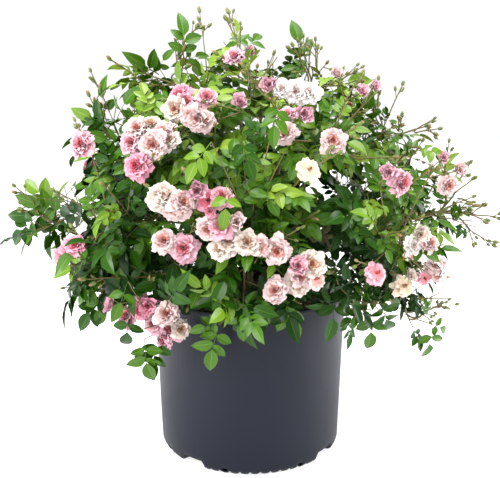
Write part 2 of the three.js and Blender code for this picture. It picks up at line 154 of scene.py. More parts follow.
def barkFinish(name, look):
    # ribs of bark with slow stains; look gives the colours, the ribs' scale and their depth
    finish = Finish(name)
    rib = finish.speckle(look["scale"], detail=4, roughness=0.6, place=finish.upright(0.22))
    stain = finish.speckle(look["scale"] * 0.16)
    stops = [(0.3, look["dark"]), (0.72, look["pale"])]
    finish.set(Base_Color=finish.node("ValToRGB", {"stops": stops}, {"Fac": rib * 0.5 + stain * 0.5}))
    finish.set(Roughness=0.55 + rib * 0.3)
    return finish.bump(rib, look["depth"])


def plainFinish(name, colour, roughness, gloss=0.5, sheen=0.0):
    finish = Finish(name, Base_Color=paint(*colour), Roughness=roughness)
    return finish.set(Specular_IOR_Level=gloss, Sheen_Weight=sheen)


# The floor and the lamps.
studio = {
    "floorSize": 24, "floorColour": (212, 212, 212), "floorGlow": 0.62, "world": 1.02, "aim": Vector((0, 0, 0.3)),
    "lamps": {  # place, size and power
        "key": ((-1.0, -1.7, 2.2), 1.3, 78), "fill": ((1.7, -1.0, 1.3), 1.2, 12),
        "top": ((0.1, -0.2, 2.4), 1.4, 70), "front": ((-1.3, -1.5, 0.5), 1.0, 19),
        "left": ((-1.9, -0.1, 0.4), 0.9, 28), "right": ((1.9, -0.2, 0.4), 0.9, 38),
    },
}
white = (1, 1, 1, 1)

floorGrid = bmesh.new()
bmesh.ops.create_grid(floorGrid, x_segments=1, y_segments=1, size=studio["floorSize"])
floorMesh = bpy.data.meshes.new("floor")
floorGrid.to_mesh(floorMesh)
floor = shown(bpy.data.objects.new("floor", floorMesh))
floorFinish = plainFinish("floor_pale", studio["floorColour"], roughness=0.9, gloss=0.2)
floorFinish.set(Emission_Color=white, Emission_Strength=studio["floorGlow"])
floorMesh.materials.append(floorFinish.material)

world = bpy.data.worlds.new("studio")
world.use_nodes = True
sky = world.node_tree.nodes["Background"]
sky.inputs["Color"].default_value = white
sky.inputs["Strength"].default_value = studio["world"]
bpy.context.scene.world = world

for lampName, (place, size, power) in studio["lamps"].items():
    lampData = bpy.data.lights.new(lampName + "_softbox", "AREA")
    lampData.size, lampData.energy = size, power
    lamp = shown(bpy.data.objects.new(lampName + "_softbox", lampData))
    lamp.location = place
    lamp.rotation_euler = (studio["aim"] - Vector(place)).to_track_quat("-Z", "Y").to_euler()
print("stage: camera, floor and light")


# How pieces are made.
def addPiece(name, mesh, finishes, slot, *replaced, smooth=True):
    piece = shown(bpy.data.objects.new(name, mesh))
    for finish in finishes:
        mesh.materials.append(finish.material)
    if smooth:
        mesh.shade_smooth()
    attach(piece, "root")
    if replaced:
        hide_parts(*replaced)
    print(f"piece: {name}, {sum(len(face.vertices) - 2 for face in mesh.polygons)} triangles")


def meshFrom(bm, name):
    bmesh.ops.transform(bm, matrix=Matrix.Scale(mm, 4), verts=bm.verts)
    mesh = bpy.data.meshes.new(name)
    bm.to_mesh(mesh)
    bm.free()
    return mesh


def turned(bm, verts, angle, axis):
    bmesh.ops.rotate(bm, verts=verts, cent=(0, 0, 0), matrix=Matrix.Rotation(angle, 3, axis))


def spun(profile, steps):
    # a strip of edges through (radius, height) points, spun round the upright axis
    bm = bmesh.new()
    points = [bm.verts.new((radius, 0, height)) for radius, height in profile]
    strip = points + [bm.edges.new(pair) for pair in zip(points, points[1:])]
    bmesh.ops.spin(bm, geom=strip, cent=(0, 0, 0), axis=up, angle=math.tau, steps=steps, use_merge=True)
    bmesh.ops.remove_doubles(bm, verts=bm.verts, dist=1e-3)
    bmesh.ops.recalc_face_normals(bm, faces=bm.faces)
    return bm


def arc(centre, height, radius, start, end, count):
    turns = [math.radians(start + (end - start) * i / count) for i in range(count + 1)]
    return [(centre + radius * math.cos(turn), height + radius * math.sin(turn)) for turn in turns]


# The pot.
pot = {
    "height": 225, "rimRadius": 140, "baseRadius": 131, "wall": 2.2, "lip": 2.4, "lipHeight": 6, "innerGap": 2.6,
    "rounding": 9, "footInner": 108, "ringInner": 98, "footLift": 4, "padRadius": 46, "archHalf": 9.6, "archHeight": 13,
    "drainHalf": 2, "drainHeight": 11, "drainOffset": 22, "firstArch": 233, "rippleHeight": 6, "ripples": 60,
    "steps": 360, "wallRows": 24, "footRows": 10, "sway": 0.5, "dark": (6, 10, 22), "pale": (10, 15, 30),
}


def potFinish():
    # satin plastic with the faint upright lines of its mould
    finish = Finish("pot_plastic_satin", Specular_IOR_Level=0.19)
    cloud = finish.speckle(14, detail=4, roughness=0.55)
    grain = finish.speckle(1400, detail=2)
    drawLines = finish.speckle(210, detail=2, roughness=0.6, place=finish.upright(0.06))
    finish.set(Base_Color=finish.blend(cloud, pot["dark"], pot["pale"]), Roughness=0.36 + cloud * 0.14 + grain * 0.06)
    return finish.bump(grain * 0.35 + drawLines * 0.5 + cloud, 0.00022)


def potInnerRadius(height):
    share = (height - pot["rounding"]) / (pot["height"] - pot["rounding"])
    return pot["baseRadius"] + (pot["rimRadius"] - pot["lip"] - pot["baseRadius"]) * share - pot["innerGap"]


def azimuthOf(point):
    return math.degrees(math.atan2(point.y, point.x))


def archTurn(azimuth):
    # degrees to the middle of the nearest of the four arches
    return abs((azimuth - pot["firstArch"] + 45) % 90 - 45)


def footEdge(azimuth):
    # how far the pot's lower edge is lifted off the floor
    past = archTurn(azimuth) - pot["archHalf"]
    if past < 0:
        return pot["archHeight"] * ramp(-past / 2)
    wave = max(0, math.cos(math.radians(azimuth * pot["ripples"])))
    return pot["rippleHeight"] * wave * ramp(past / 4)


def makePot():
    top, rim, rounding = pot["height"], pot["rimRadius"], pot["rounding"]
    outerTop, lipFoot = rim - pot["lip"], top - pot["lipHeight"]
    wallHeights = [rounding + (lipFoot - 1 - rounding) * i / pot["wallRows"] for i in range(1, pot["wallRows"] + 1)]
    widening = outerTop - pot["baseRadius"]
    bm = spun([
        (0, 0), (pot["padRadius"], 0), (pot["padRadius"] + pot["footLift"], pot["footLift"]),
        (pot["ringInner"] - pot["footLift"], pot["footLift"]), (pot["ringInner"], 0), (pot["footInner"], 0),
        *arc(pot["baseRadius"] - rounding, rounding, rounding, -90, 0, pot["footRows"]),
        *[(pot["baseRadius"] + widening * (z - rounding) / (lipFoot - rounding), z) for z in wallHeights],
        (outerTop + 0.2, lipFoot - 0.4), (rim - 0.5, lipFoot), (rim, lipFoot + 0.6), (rim, top - 1.4),
        (rim - 0.5, top - 0.4), (rim - 1.4, top), (rim - 3, top), (rim - 4, top - 0.5),
    ], pot["steps"])
    drains = []
    for face in bm.faces:
        middle = face.calc_center_median()
        onFoot = 1.5 < middle.z < pot["drainHeight"] and middle.to_2d().length > pot["footInner"] + 8
        if onFoot and abs(archTurn(azimuthOf(middle)) - pot["drainOffset"]) < pot["drainHalf"]:
            drains.append(face)
    for vert in bm.verts:
        if vert.co.to_2d().length > pot["footInner"] - 1 and vert.co.z < pot["archHeight"] + 0.1:
            vert.co.z = max(vert.co.z, footEdge(azimuthOf(vert.co)))
        vert.co.xy *= 1 + noise.noise(vert.co * 0.012) * pot["sway"] * ramp(vert.co.z / 60) / rim
    bmesh.ops.delete(bm, geom=drains, context="FACES")
    bmesh.ops.recalc_face_normals(bm, faces=bm.faces)
    bmesh.ops.solidify(bm, geom=bm.faces[:], thickness=pot["wall"])
    addPiece("nursery_pot", meshFrom(bm, "nursery_pot"), [potFinish()], "pot_plastic", "pot")


makePot()


# The potting mix with loose bark chips.
mix = {
    "top": 205, "foot": 8, "footRadius": 112, "side": 17, "rings": 26, "steps": 96, "relief": 5,
    "waves": ((0.03, 1), (0.09, 0.5), (0.22, 0.25)), "dark": (38, 26, 19), "pale": (84, 60, 42),
}
chips = {
    "count": 620, "seed": 7, "shapes": 4, "size": (9, 5, 2.4), "trim": (0.6, 1.1), "scale": (0.5, 1.5), "lean": 0.35,
    "rimRoom": 9, "stemRoom": 24, "lift": 0.6, "dark": (62, 42, 29), "pale": (122, 88, 60),
}


def crumbFinish(name, look):
    finish = Finish(name, Roughness=0.92)
    lump = finish.speckle(160, detail=5, roughness=0.65)
    stops = [(0.32, look["dark"]), (0.7, look["pale"])]
    finish.set(Base_Color=finish.node("ValToRGB", {"stops": stops}, {"Fac": lump}))
    return finish.bump(lump, 0.0016)


def mixSurface(x, y):
    return mix["relief"] * sum(share * noise.noise(Vector((x, y, 0)) * scale) for scale, share in mix["waves"])


def makeMix():
    top = mix["top"]
    inner = potInnerRadius(top) - 0.8
    profile = [(0, mix["foot"]), (mix["footRadius"], mix["foot"])]
    profile += [(potInnerRadius(mix["side"] - 1) - 1.2, mix["side"]), (inner, top - 3)]
    profile += [(inner - 1.5 - (inner - 1.5) * i / mix["rings"], top) for i in range(mix["rings"] + 1)]
    bm = spun(profile, mix["steps"])
    for vert in bm.verts:
        if vert.co.z > top - 1:
            vert.co.z += mixSurface(vert.co.x, vert.co.y)
    finishes = [crumbFinish("bark_mix_damp", mix)]
    addPiece("potting_mix_bed", meshFrom(bm, "potting_mix_bed"), finishes, "bark_mix", "potting_mix")


makeMix()


# Joined copies of small shapes.
def shapeOf(bm):
    bm.verts.index_update()
    shape = {
        "places": np.array([vert.co for vert in bm.verts]),
        "corners": np.array([vert.index for face in bm.faces for vert in face.verts]),
        "sizes": np.array([len(face.verts) for face in bm.faces]),
        "parts": np.array([face.material_index for face in bm.faces]),
    }
    bm.free()
    return shape


def spread(name, shapes, spots, finishes, slot, smooth=True):
    # one mesh of many copies: spots are pairs of a shape's number and its matrix
    places, corners, sizes, parts, start = [], [], [], [], 0
    for number, shape in enumerate(shapes):
        turns = np.array([matrix for which, matrix in spots if which == number])
        if not len(turns):
            continue
        moved = np.einsum("kij,nj->kni", turns[:, :3, :3], shape["places"]) + turns[:, None, :3, 3]
        offsets = start + len(shape["places"]) * np.arange(len(turns))
        places.append(moved.reshape(-1, 3) * mm)
        corners.append((shape["corners"][None] + offsets[:, None]).ravel())
        sizes.append(np.tile(shape["sizes"], len(turns)))
        parts.append(np.tile(shape["parts"], len(turns)))
        start += moved.shape[0] * moved.shape[1]
    places, corners, sizes, parts = map(np.concatenate, (places, corners, sizes, parts))
    mesh = bpy.data.meshes.new(name)
    mesh.vertices.add(len(places))
    mesh.vertices.foreach_set("co", places.astype(np.float32).ravel())
    mesh.loops.add(len(corners))
    mesh.loops.foreach_set("vertex_index", corners.astype(np.int32))
    mesh.polygons.add(len(sizes))
    mesh.polygons.foreach_set("loop_start", np.concatenate(([0], np.cumsum(sizes)[:-1])).astype(np.int32))
    mesh.polygons.foreach_set("material_index", parts.astype(np.int32))
    mesh.update(calc_edges=True)
    addPiece(name, mesh, finishes, slot, smooth=smooth)


def frameOf(place, along, face, size=1):
    # a matrix with Y along a direction and Z as near a facing as that allows
    side = along.cross(face).normalized()
    top = side.cross(along).normalized()
    matrix = Matrix((side * size, along.normalized() * size, top * size)).transposed().to_4x4()
    matrix.translation = place
    return matrix


def chipShape(rng):
    bm = bmesh.new()
    bmesh.ops.create_cube(bm, size=1)
    for vert in bm.verts:
        vert.co = Vector([c * s * rng.uniform(*chips["trim"]) for c, s in zip(vert.co, chips["size"])])
    return shapeOf(bm)


def makeChips():
    rng = random.Random(chips["seed"])
    lean = chips["lean"]
    spots = []
    for n in range(chips["count"]):
        out = (potInnerRadius(mix["top"]) - chips["rimRoom"]) * math.sqrt(rng.random())
        turn = rng.uniform(0, math.tau)
        x, y = out * math.cos(turn), out * math.sin(turn)
        if out < chips["stemRoom"]:
            continue
        place = Vector((x, y, mix["top"] + mixSurface(x, y) + chips["lift"]))
        face = Vector((rng.uniform(-lean, lean), rng.uniform(-lean, lean), 1))
        along = Vector((rng.uniform(-1, 1), rng.uniform(-1, 1), 0)).normalized()
        spots.append((n % chips["shapes"], frameOf(place, along, face, rng.uniform(*chips["scale"]))))
    shapes = [chipShape(rng) for _ in range(chips["shapes"])]
    spread("bark_chips", shapes, spots, [crumbFinish("bark_chip", chips)], "bark_mix", smooth=False)


makeChips()


# Leaf shapes, which grow along Y and face +Z.
leafGreens = {  # blade, midrib and the gloss of each green of leaf, from the oldest and darkest; the darker greens also serve as painted shade and the paler ones as painted light
    "shade": ((16, 41, 6), (34, 63, 16), 0.1), "deep": ((28, 61, 5), (51, 86, 22), 0.14),
    "mid": ((51, 86, 11), (78, 112, 30), 0.17), "fresh": ((80, 110, 20), (105, 135, 43), 0.22),
    "lime": ((104, 130, 38), (128, 152, 60), 0.25),
}
tintOrder = list(leafGreens)
leafParts = ("rachis", "end", "pairs", "fold", "droop", "sag", "broad")
leafLook = [dict(zip(leafParts, row)) for row in (  # pairs are (place on the rachis, leaflet length, turn in degrees)
    (38, (33, 19), [(15, 24, 66), (28, 28, 58)], 0.34, 0.16, 0.0028, (0.54, 0.68)),
    (42, (29, 16), [(12, 19, 70), (23, 23, 64), (34, 25, 56)], 0.28, 0.2, 0.0036, (0.44, 0.56)),
    (36, (34, 20), [(14, 26, 74), (27, 29, 62)], 0.5, 0.28, 0.005, (0.5, 0.62)),
    (34, (32, 17), [(13, 23, 56), (25, 27, 48)], 0.6, 0.08, 0.001, (0.42, 0.54)),
    (37, (34, 20), [(22, 28, 68)], 0.4, 0.22, 0.004, (0.5, 0.64)),
    (40, (31, 18), [(16, 22, 60), (29, 28, 52)], 0.2, 0.3, 0.006, (0.48, 0.6)),
)]
openLooks = (0, 2, 4, 4)  # the looks with few, large leaflets
ribShare = 0.06


def blade(bm, length, width, place, turn, roll, fold, droop):
    # one leaflet, folded up along a pale midrib and pointed at both ends
    made = bmesh.ops.create_grid(bm, x_segments=3, y_segments=5, size=0.5)["verts"]
    for face in {face for vert in made for face in vert.link_faces}:
        face.material_index = 1 if abs(face.calc_center_median().x) < 0.1 else 0
    for vert in made:
        far, side = vert.co.y + 0.5, vert.co.x * 2
        side = side if abs(side) > 0.9 else math.copysign(ribShare, side)
        half = width / 2 * max(0, math.sin(math.pi * far ** 0.86)) ** 0.8
        wave = 0.05 * width * math.sin(far * 11 + turn * 3) * abs(side)
        lift = max(0, abs(side) - ribShare) * half * fold - droop * length * far ** 2 + wave
        vert.co = Vector((side * half, far * length, lift))
    turned(bm, made, roll, "Y")
    turned(bm, made, turn, "Z")
    bmesh.ops.translate(bm, verts=made, vec=place)


def leafShape(look, number):
    rng = random.Random(number)
    rachis, fold, droop = look["rachis"], look["fold"], look["droop"]
    bm = bmesh.new()
    bmesh.ops.create_cone(bm, segments=3, radius1=0.75, radius2=0.4, depth=rachis, cap_ends=True)
    turned(bm, bm.verts, -math.pi / 2, "X")
    bmesh.ops.translate(bm, verts=bm.verts, vec=(0, rachis / 2, 0))
    bmesh.ops.subdivide_edges(bm, edges=[edge for edge in bm.edges if edge.calc_length() > 20], cuts=2)
    blade(bm, *look["end"], (0, rachis - 1, 0.2), rng.uniform(-0.2, 0.2), rng.uniform(-0.3, 0.3), fold, droop)
    for place, length, turn in look["pairs"]:
        for hand in (-1, 1):
            swing = math.radians(turn + rng.uniform(-9, 9)) * hand
            size = length * rng.uniform(0.88, 1.08)
            bends = fold * rng.uniform(0.4, 1.1), droop * rng.uniform(0.4, 1.6)
            width = size * rng.uniform(*look["broad"])
            blade(bm, size, width, (0, place + hand, 0.2), swing, rng.uniform(-0.5, 0.5), *bends)
    for vert in bm.verts:
        vert.co.z -= look["sag"] * vert.co.y ** 2
    bmesh.ops.remove_doubles(bm, verts=bm.verts, dist=0.02)
    return shapeOf(bm)


# The bush: where its masses stand, in the source's own values.
bush = {
    "halfWidth": 349, "depthShare": 0.78, "middleHeight": 372, "bloomHalfWidth": 300, "bloomHalfHeight": 222,
    "crownHeight": 24, "crownDome": 2, "seat": 0.3, "caneRing": 20, "caneFoot": 4.6, "caneTip": 2.4, "boughFoot": 3,
    "boughTip": 1.9, "stemFoot": 1.9, "twigFoot": 1.1, "twigTip": 0.6, "limbSteps": 6, "sharedCaneCost": 10,
    "entryReach": 84, "entryStep": 4, "entryRoom": 6, "leafReach": 84, "endLeaf": 0.72,
}
goldenAngle = math.radians(137.5)

tiers = [
    {
        "name": "skirt", "limb": "bough", "azimuths": [25, 70, 115, 160, 203, 240, 268, 304, 342], "out": 206,
        "height": 238, "tipOut": [274, 258, 250, 278, 256, 252, 238, 244, 266],
        "tipHeight": [165, 150, 140, 170, 186, 140, 186, 170, 128], "forkStep": 4, "entryRise": 30, "seed": 100,
    },
    {
        "name": "shoulder", "limb": "cane", "azimuths": [0, 45, 90, 135, 180, 225, 270, 315], "out": 236,
        "height": 338, "tipOut": [349, 318, 326, 320, 347, 330, 318, 332],
        "tipHeight": [336, 350, 330, 352, 297, 296, 318, 296], "entryRise": -40, "seed": 200,
    },
    {
        "name": "crest", "limb": "bough", "azimuths": [0, 60, 120, 180, 240, 300], "out": 168, "height": 440,
        "tipOut": [276, 262, 255, 264, 268, 270], "tipHeight": [450, 455, 470, 446, 452, 440],
        "forkStep": 3, "entryRise": -40, "seed": 300,
    },
    {
        "name": "top", "limb": "bough", "azimuths": [0, 60, 100, 180, 270], "out": 92, "height": 515,
        "tipOut": [190, 190, 120, 206, 180], "tipHeight": [508, 604, 629, 541, 556],
        "forkStep": 2, "entryRise": -40, "seed": 400,
    },
    {
        "name": "heart", "limb": None, "azimuths": [90], "out": 8, "height": 372,
        "tipOut": [30], "tipHeight": [455], "seed": 900,
    },
]


def aroundBush(azimuth, out, height):
    angle = math.radians(azimuth)
    return Vector((out * math.cos(angle), bush["depthShare"] * out * math.sin(angle), height))


def bloomPoint(azimuth, height):
    rise = (height - bush["middleHeight"]) / bush["bloomHalfHeight"]
    return aroundBush(azimuth, bush["bloomHalfWidth"] * math.sqrt(max(0.05, 1 - rise * rise)), height)


class Sweep:  # a Bezier curve that is read by its length
    def __init__(self, *corners):
        self.corners = corners
        self.line = [self.bend(i / 60) for i in range(61)]
        self.run = np.cumsum([0] + [(b - a).length for a, b in zip(self.line, self.line[1:])])
        self.length = self.run[-1]

    def bend(self, share):
        points = list(self.corners)
        while len(points) > 1:
            points = [a.lerp(b, share) for a, b in zip(points, points[1:])]
        return points[0].copy()

    def pointAt(self, share):
        far = ramp(share) * self.length
        step = min(int(np.searchsorted(self.run, far, side="right")) - 1, 59)
        span = self.run[step + 1] - self.run[step]
        return self.line[step].lerp(self.line[step + 1], (far - self.run[step]) / span if span else 0)

    def headingAt(self, share):
        return (self.pointAt(share + 0.02) - self.pointAt(share - 0.02)).normalized()


masses = [
    {
        "tier": tier, "azimuth": azimuth, "seed": tier["seed"] + i,
        "middle": aroundBush(azimuth, tier["out"], tier["height"]),
        "tip": aroundBush(azimuth, tier["tipOut"][i], tier["tipHeight"][i]),
    }
    for tier in tiers for i, azimuth in enumerate(tier["azimuths"])
]
middles = np.array([mass["middle"] for mass in masses])
for number, mass in enumerate(masses):
    mass["number"] = number
    mass["apart"] = np.maximum(1, np.linalg.norm(middles - middles[number], axis=1))


def ownSpace(point, mass):
    # how far a point lies inside the space that a mass keeps to, halfway to each neighbour
    number = mass["number"]
    lead = ((middles - np.array(point)) ** 2).sum(1)
    lead = (lead - lead[number]) / (2 * mass["apart"])
    lead[number] = math.inf
    return lead.min()


def clearOfPot(point, room=4):
    out = point.to_2d().length
    if point.z < 10:
        return False
    if point.z > pot["height"] + room or out > pot["rimRadius"] + room:
        return True
    return point.z > mix["top"] + 7 and out < potInnerRadius(mix["top"]) - room


def entryPoint(mass):
    # where a mass's stem meets its limb: back from its middle, as far as its own space allows
    back = mass["middle"] - mass["tip"]
    back.z += mass["tier"]["entryRise"]
    back.normalize()
    entry = mass["middle"].copy()
    for step in range(bush["entryStep"], bush["entryReach"] + 1, bush["entryStep"]):
        onward = mass["middle"] + back * step
        if ownSpace(onward, mass) < bush["entryRoom"] or not clearOfPot(onward):
            break
        entry = onward
    return entry


crownTop = Vector((0, 0, mix["top"] + bush["crownHeight"] + bush["crownDome"] + bush["seat"]))
for mass in masses:
    mass["entry"] = entryPoint(mass) if mass["tier"]["limb"] else crownTop
    mass["arrival"] = (mass["middle"] - mass["entry"]).normalized()


# The limbs.
def caneSweep(mass):
    foot = aroundBush(mass["azimuth"], bush["caneRing"], mix["top"] + bush["crownHeight"] * 0.7)
    foot.y /= bush["depthShare"]
    rise = aroundBush(mass["azimuth"], bush["caneRing"] + 26, mix["top"] + bush["crownHeight"] + 70)
    return Sweep(foot, rise, mass["entry"] - mass["arrival"] * 70, mass["entry"])


def nearestCane(mass):
    def cost(cane):
        turn = abs((mass["azimuth"] - cane["mass"]["azimuth"] + 540) % 360 - 180)
        return turn + bush["sharedCaneCost"] * cane["forks"].count(mass["tier"]["name"])
    nearest = min(canes, key=cost)
    nearest["forks"].append(mass["tier"]["name"])
    return nearest


def boughSweep(mass):
    cane = nearestCane(mass)
    shared = cane["forks"].count(mass["tier"]["name"]) - 1
    forkAt = (mass["tier"]["forkStep"] + shared) / bush["limbSteps"]
    start, end = cane["sweep"].pointAt(forkAt), mass["entry"]
    length = (end - start).length
    leave = cane["sweep"].headingAt(forkAt) * 0.6 + (end - start).normalized() * 0.6
    return Sweep(start, start + leave.normalized() * length * 0.35, end - mass["arrival"] * length * 0.33, end)


def massesOn(limb):
    return [mass for mass in masses if mass["tier"]["limb"] == limb]


canes = [{"mass": mass, "sweep": caneSweep(mass), "forks": [], "foot": bush["caneFoot"]} for mass in massesOn("cane")]
boughs = [{"sweep": boughSweep(mass), "foot": bush["boughFoot"]} for mass in massesOn("bough")]

limbLook = {
    "nodeEvery": 27, "nodeSwell": 0.16, "nodeWidth": 2.4, "footSwell": 0.25, "footLength": 14, "wander": 1.2,
    "samples": 4.5, "relief": 0.5, "reliefScale": 260, "roundness": 3,
    "bark": {"dark": (74, 62, 38), "pale": (112, 116, 62), "scale": 420, "depth": 0.0007},
}
crownLook = {
    "radius": 25, "halfHeight": 15.5, "middle": 10, "lumps": ((2.1, 0.16), (5.5, 0.09), (13, 0.05)),
    "bark": {"dark": (66, 50, 36), "pale": (128, 104, 78), "scale": 300, "depth": 0.0014},
}
prickleLook = {
    "seed": 51, "every": 24, "radius": 1.1, "point": 0.05, "length": 4.6, "hook": 0.09, "sizes": (0.7, 1.1),
    "colour": (134, 84, 58),
}


def tubeMesh(name, lines, roundness):
    # lines are lists of (point, radius); each becomes a capped tube
    curve = bpy.data.curves.new(name, "CURVE")
    curve.dimensions = "3D"
    curve.bevel_depth = mm
    curve.bevel_resolution = roundness
    curve.use_fill_caps = True
    for line in lines:
        spline = curve.splines.new("POLY")
        spline.points.add(len(line) - 1)
        for knot, (point, radius) in zip(spline.points, line):
            knot.co = (*(point * mm), 1)
            knot.radius = radius
    holder = shown(bpy.data.objects.new(name, curve))
    bpy.context.view_layer.update()
    mesh = bpy.data.meshes.new_from_object(holder)
    bpy.data.objects.remove(holder)
    bpy.data.curves.remove(curve)
    return mesh


def roughen(mesh, depth, scale):
    # pushes a tube's skin in and out for the relief of its bark
    normals = [vert.normal.copy() for vert in mesh.vertices]
    for vert, normal in zip(mesh.vertices, normals):
        spot = Vector((vert.co.x * scale, vert.co.y * scale, vert.co.z * scale * 0.35))
        vert.co += normal * (noise.noise(spot) * 0.7 + noise.noise(spot * 2.7) * 0.3) * depth * mm


def limbLine(sweep, foot, tip):
    # a tapering line with a swelling at each leaf node and at the foot
    count = int(sweep.length / limbLook["samples"])
    every, line = limbLook["nodeEvery"], []
    for i in range(count + 1):
        share = i / count
        far = share * sweep.length
        knot = abs((far / every + 0.5) % 1 - 0.5) * every
        atNode = 1 + limbLook["nodeSwell"] * math.exp(-(knot / limbLook["nodeWidth"]) ** 2)
        atFoot = 1 + limbLook["footSwell"] * max(0, 1 - far / limbLook["footLength"])
        point = sweep.pointAt(share)
        point += noise.noise_vector(point * 0.03) * limbLook["wander"] * math.sin(math.pi * share)
        line.append((point, (foot + (tip - foot) * share) * atNode * atFoot))
    return line


def makeLimbs():
    caneFinish = barkFinish("cane_bark", limbLook["bark"])
    for name, limbs, tip, kind in (
        ("rose_canes", canes, bush["caneTip"], "cane_"), ("rose_boughs", boughs, bush["boughTip"], "bough_"),
    ):
        lines = [limbLine(limb["sweep"], limb["foot"], tip) for limb in limbs]
        mesh = tubeMesh(name, lines, limbLook["roundness"])
        roughen(mesh, limbLook["relief"], limbLook["reliefScale"])
        nodes = [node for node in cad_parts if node.startswith(kind)]
        addPiece(name, mesh, [caneFinish], "green_wood", *nodes)


def makeCrown():
    crown = bmesh.new()
    bmesh.ops.create_icosphere(crown, subdivisions=5, radius=1)
    radius, halfHeight, middle = crownLook["radius"], crownLook["halfHeight"], mix["top"] + crownLook["middle"]
    for vert in crown.verts:
        way = vert.co.copy()
        lump = sum((depth * noise.noise(way * scale) for scale, depth in crownLook["lumps"]), 1)
        vert.co = Vector((way.x * radius * lump, way.y * radius * lump, middle + way.z * halfHeight * lump))
    finishes = [barkFinish("old_wood_bark", crownLook["bark"])]
    addPiece("rose_woody_crown", meshFrom(crown, "rose_woody_crown"), finishes, "old_wood", "woody_crown")


def makePrickles():
    rng = random.Random(prickleLook["seed"])
    bm = bmesh.new()
    radii = {"radius1": prickleLook["radius"], "radius2": prickleLook["point"]}
    bmesh.ops.create_cone(bm, segments=5, **radii, depth=prickleLook["length"], cap_ends=True)
    for vert in bm.verts:
        vert.co.z += prickleLook["length"] / 2 - 0.2
        vert.co.y -= prickleLook["hook"] * vert.co.z ** 2
    spots = []
    for limb in canes + boughs:
        sweep = limb["sweep"]
        for n in range(1, int(sweep.length / prickleLook["every"])):
            share = n * prickleLook["every"] / sweep.length
            axis = sweep.headingAt(share)
            across = axis.orthogonal().normalized()
            across.rotate(Matrix.Rotation(goldenAngle * n + rng.random(), 3, axis))
            place = sweep.pointAt(share) + across * limb["foot"] * 0.55
            along = axis.cross(across).cross(across)
            spots.append((0, frameOf(place, along, across, rng.uniform(*prickleLook["sizes"]))))
    finish = plainFinish("prickle_brown", prickleLook["colour"], 0.5)
    spread("prickles", [shapeOf(bm)], spots, [finish], "old_wood")


makeLimbs()
makeCrown()
makePrickles()
print("stage: pot, mix and limbs")


# Flowers: trusses of (x, height, kind, width) on the flowering side, and by rule on the far side.
petalTints = {  # rim, body, inner petals and heart of each kind of bloom; the pale rim is the petals' own pale edge with a painted highlight, the darker inner petals and heart their own salmon middle with painted shade
    "pale": ((212, 206, 202), (206, 194, 190), (198, 170, 162), (178, 136, 104)),
    "cream": ((194, 181, 172), (184, 154, 132), (185, 128, 100), (170, 101, 62)),
    "blush": ((195, 171, 170), (188, 140, 131), (185, 108, 94), (168, 79, 56)),
    "faded": ((190, 177, 158), (183, 161, 138), (172, 136, 104), (136, 92, 52)),
    "pink": ((195, 150, 163), (188, 116, 124), (182, 86, 91), (156, 62, 54)),
    "rose": ((195, 132, 149), (188, 91, 110), (178, 66, 80), (147, 46, 49)),
}
frontTrusses = [
    [(-201, 437, "pink", 36)],
    [
        (-127, 457, "blush", 31), (-138, 441, "pink", 31), (-112, 464, "cream", 31), (-99, 454, "blush", 33),
        (-108, 435, "blush", 36), (-92, 444, "cream", 28),
    ],
    [(-131, 414, "rose", 36)],
    [(-83, 493, "rose", 31), (-68, 487, "pink", 31), (-84, 474, "cream", 33), (-67, 469, "blush", 31)],
    [(-46, 490, "pink", 28), (-49, 465, "blush", 28), (-58, 461, "blush", 23)],
    [(-94, 387, "cream", 36), (-106, 372, "cream", 33), (-85, 366, "blush", 36), (-67, 378, "blush", 33)],
    [(-57, 387, "pink", 23), (-46, 377, "rose", 31), (-30, 387, "pink", 28), (-43, 364, "rose", 15)],
    [(-97, 334, "blush", 31), (-75, 324, "pink", 36)],
    [
        (-48, 340, "blush", 33), (-31, 351, "pink", 31), (-36, 325, "cream", 31), (-24, 335, "cream", 31),
        (-14, 354, "blush", 21),
    ],
    [(-3, 334, "cream", 31)],
    [(29, 317, "blush", 36), (13, 323, "blush", 28)],
    [(71, 305, "cream", 36), (80, 287, "blush", 31), (54, 303, "pink", 23)],
    [(24, 272, "blush", 33), (52, 277, "cream", 36), (60, 289, "blush", 26)],
    [(-168, 217, "pink", 33), (-141, 229, "rose", 33), (-186, 227, "pink", 23), (-126, 240, "rose", 23)],
    [
        (-103, 237, "blush", 34), (-125, 211, "pink", 29), (-109, 200, "pink", 36), (-121, 177, "pink", 31),
        (-84, 206, "cream", 27),
    ],
    [(-231, 310, "rose", 33), (-213, 317, "rose", 28), (-242, 291, "pink", 23)],
    [(-19, 541, "pink", 28), (0, 540, "pink", 15)],
    [(20, 499, "pink", 21)],
    [(35, 498, "pale", 26), (49, 493, "pale", 31), (66, 494, "pale", 31)],
    [(40, 474, "pink", 26), (59, 467, "pink", 22)],
    [(36, 452, "blush", 31)],
    [(91, 442, "blush", 33)],
    [(67, 412, "faded", 31)],
    [(-11, 482, "pink", 21)],
    [(100, 515, "blush", 18), (127, 494, "pink", 18), (144, 499, "pink", 15)],
    [(155, 405, "pink", 21), (180, 391, "pink", 33)],
    [(244, 383, "blush", 28), (229, 418, "pink", 15), (260, 402, "blush", 18)],
    [
        (203, 315, "pale", 26), (223, 317, "blush", 26), (224, 300, "pale", 26), (203, 300, "blush", 25),
        (203, 330, "cream", 21),
    ],
    [
        (255, 285, "pale", 28), (239, 284, "blush", 26), (246, 267, "blush", 26), (260, 263, "pale", 24),
        (231, 259, "pink", 24),
    ],
    [(153, 289, "pink", 33)],
    [(197, 260, "faded", 33), (202, 275, "cream", 18)],
]
backTrusses = {
    "count": 19, "from": 14, "to": 165, "low": 236, "high": 545, "inset": 14, "highInset": 0.18, "apart": 9.5,
    "sizes": [4, 1, 3, 5, 2], "kinds": ["blush", "pink", "cream", "blush", "rose", "pink"], "width": 26,
}
viewerPlace = Vector(view["place"]) / mm
viewerSpot = np.array(viewerPlace)
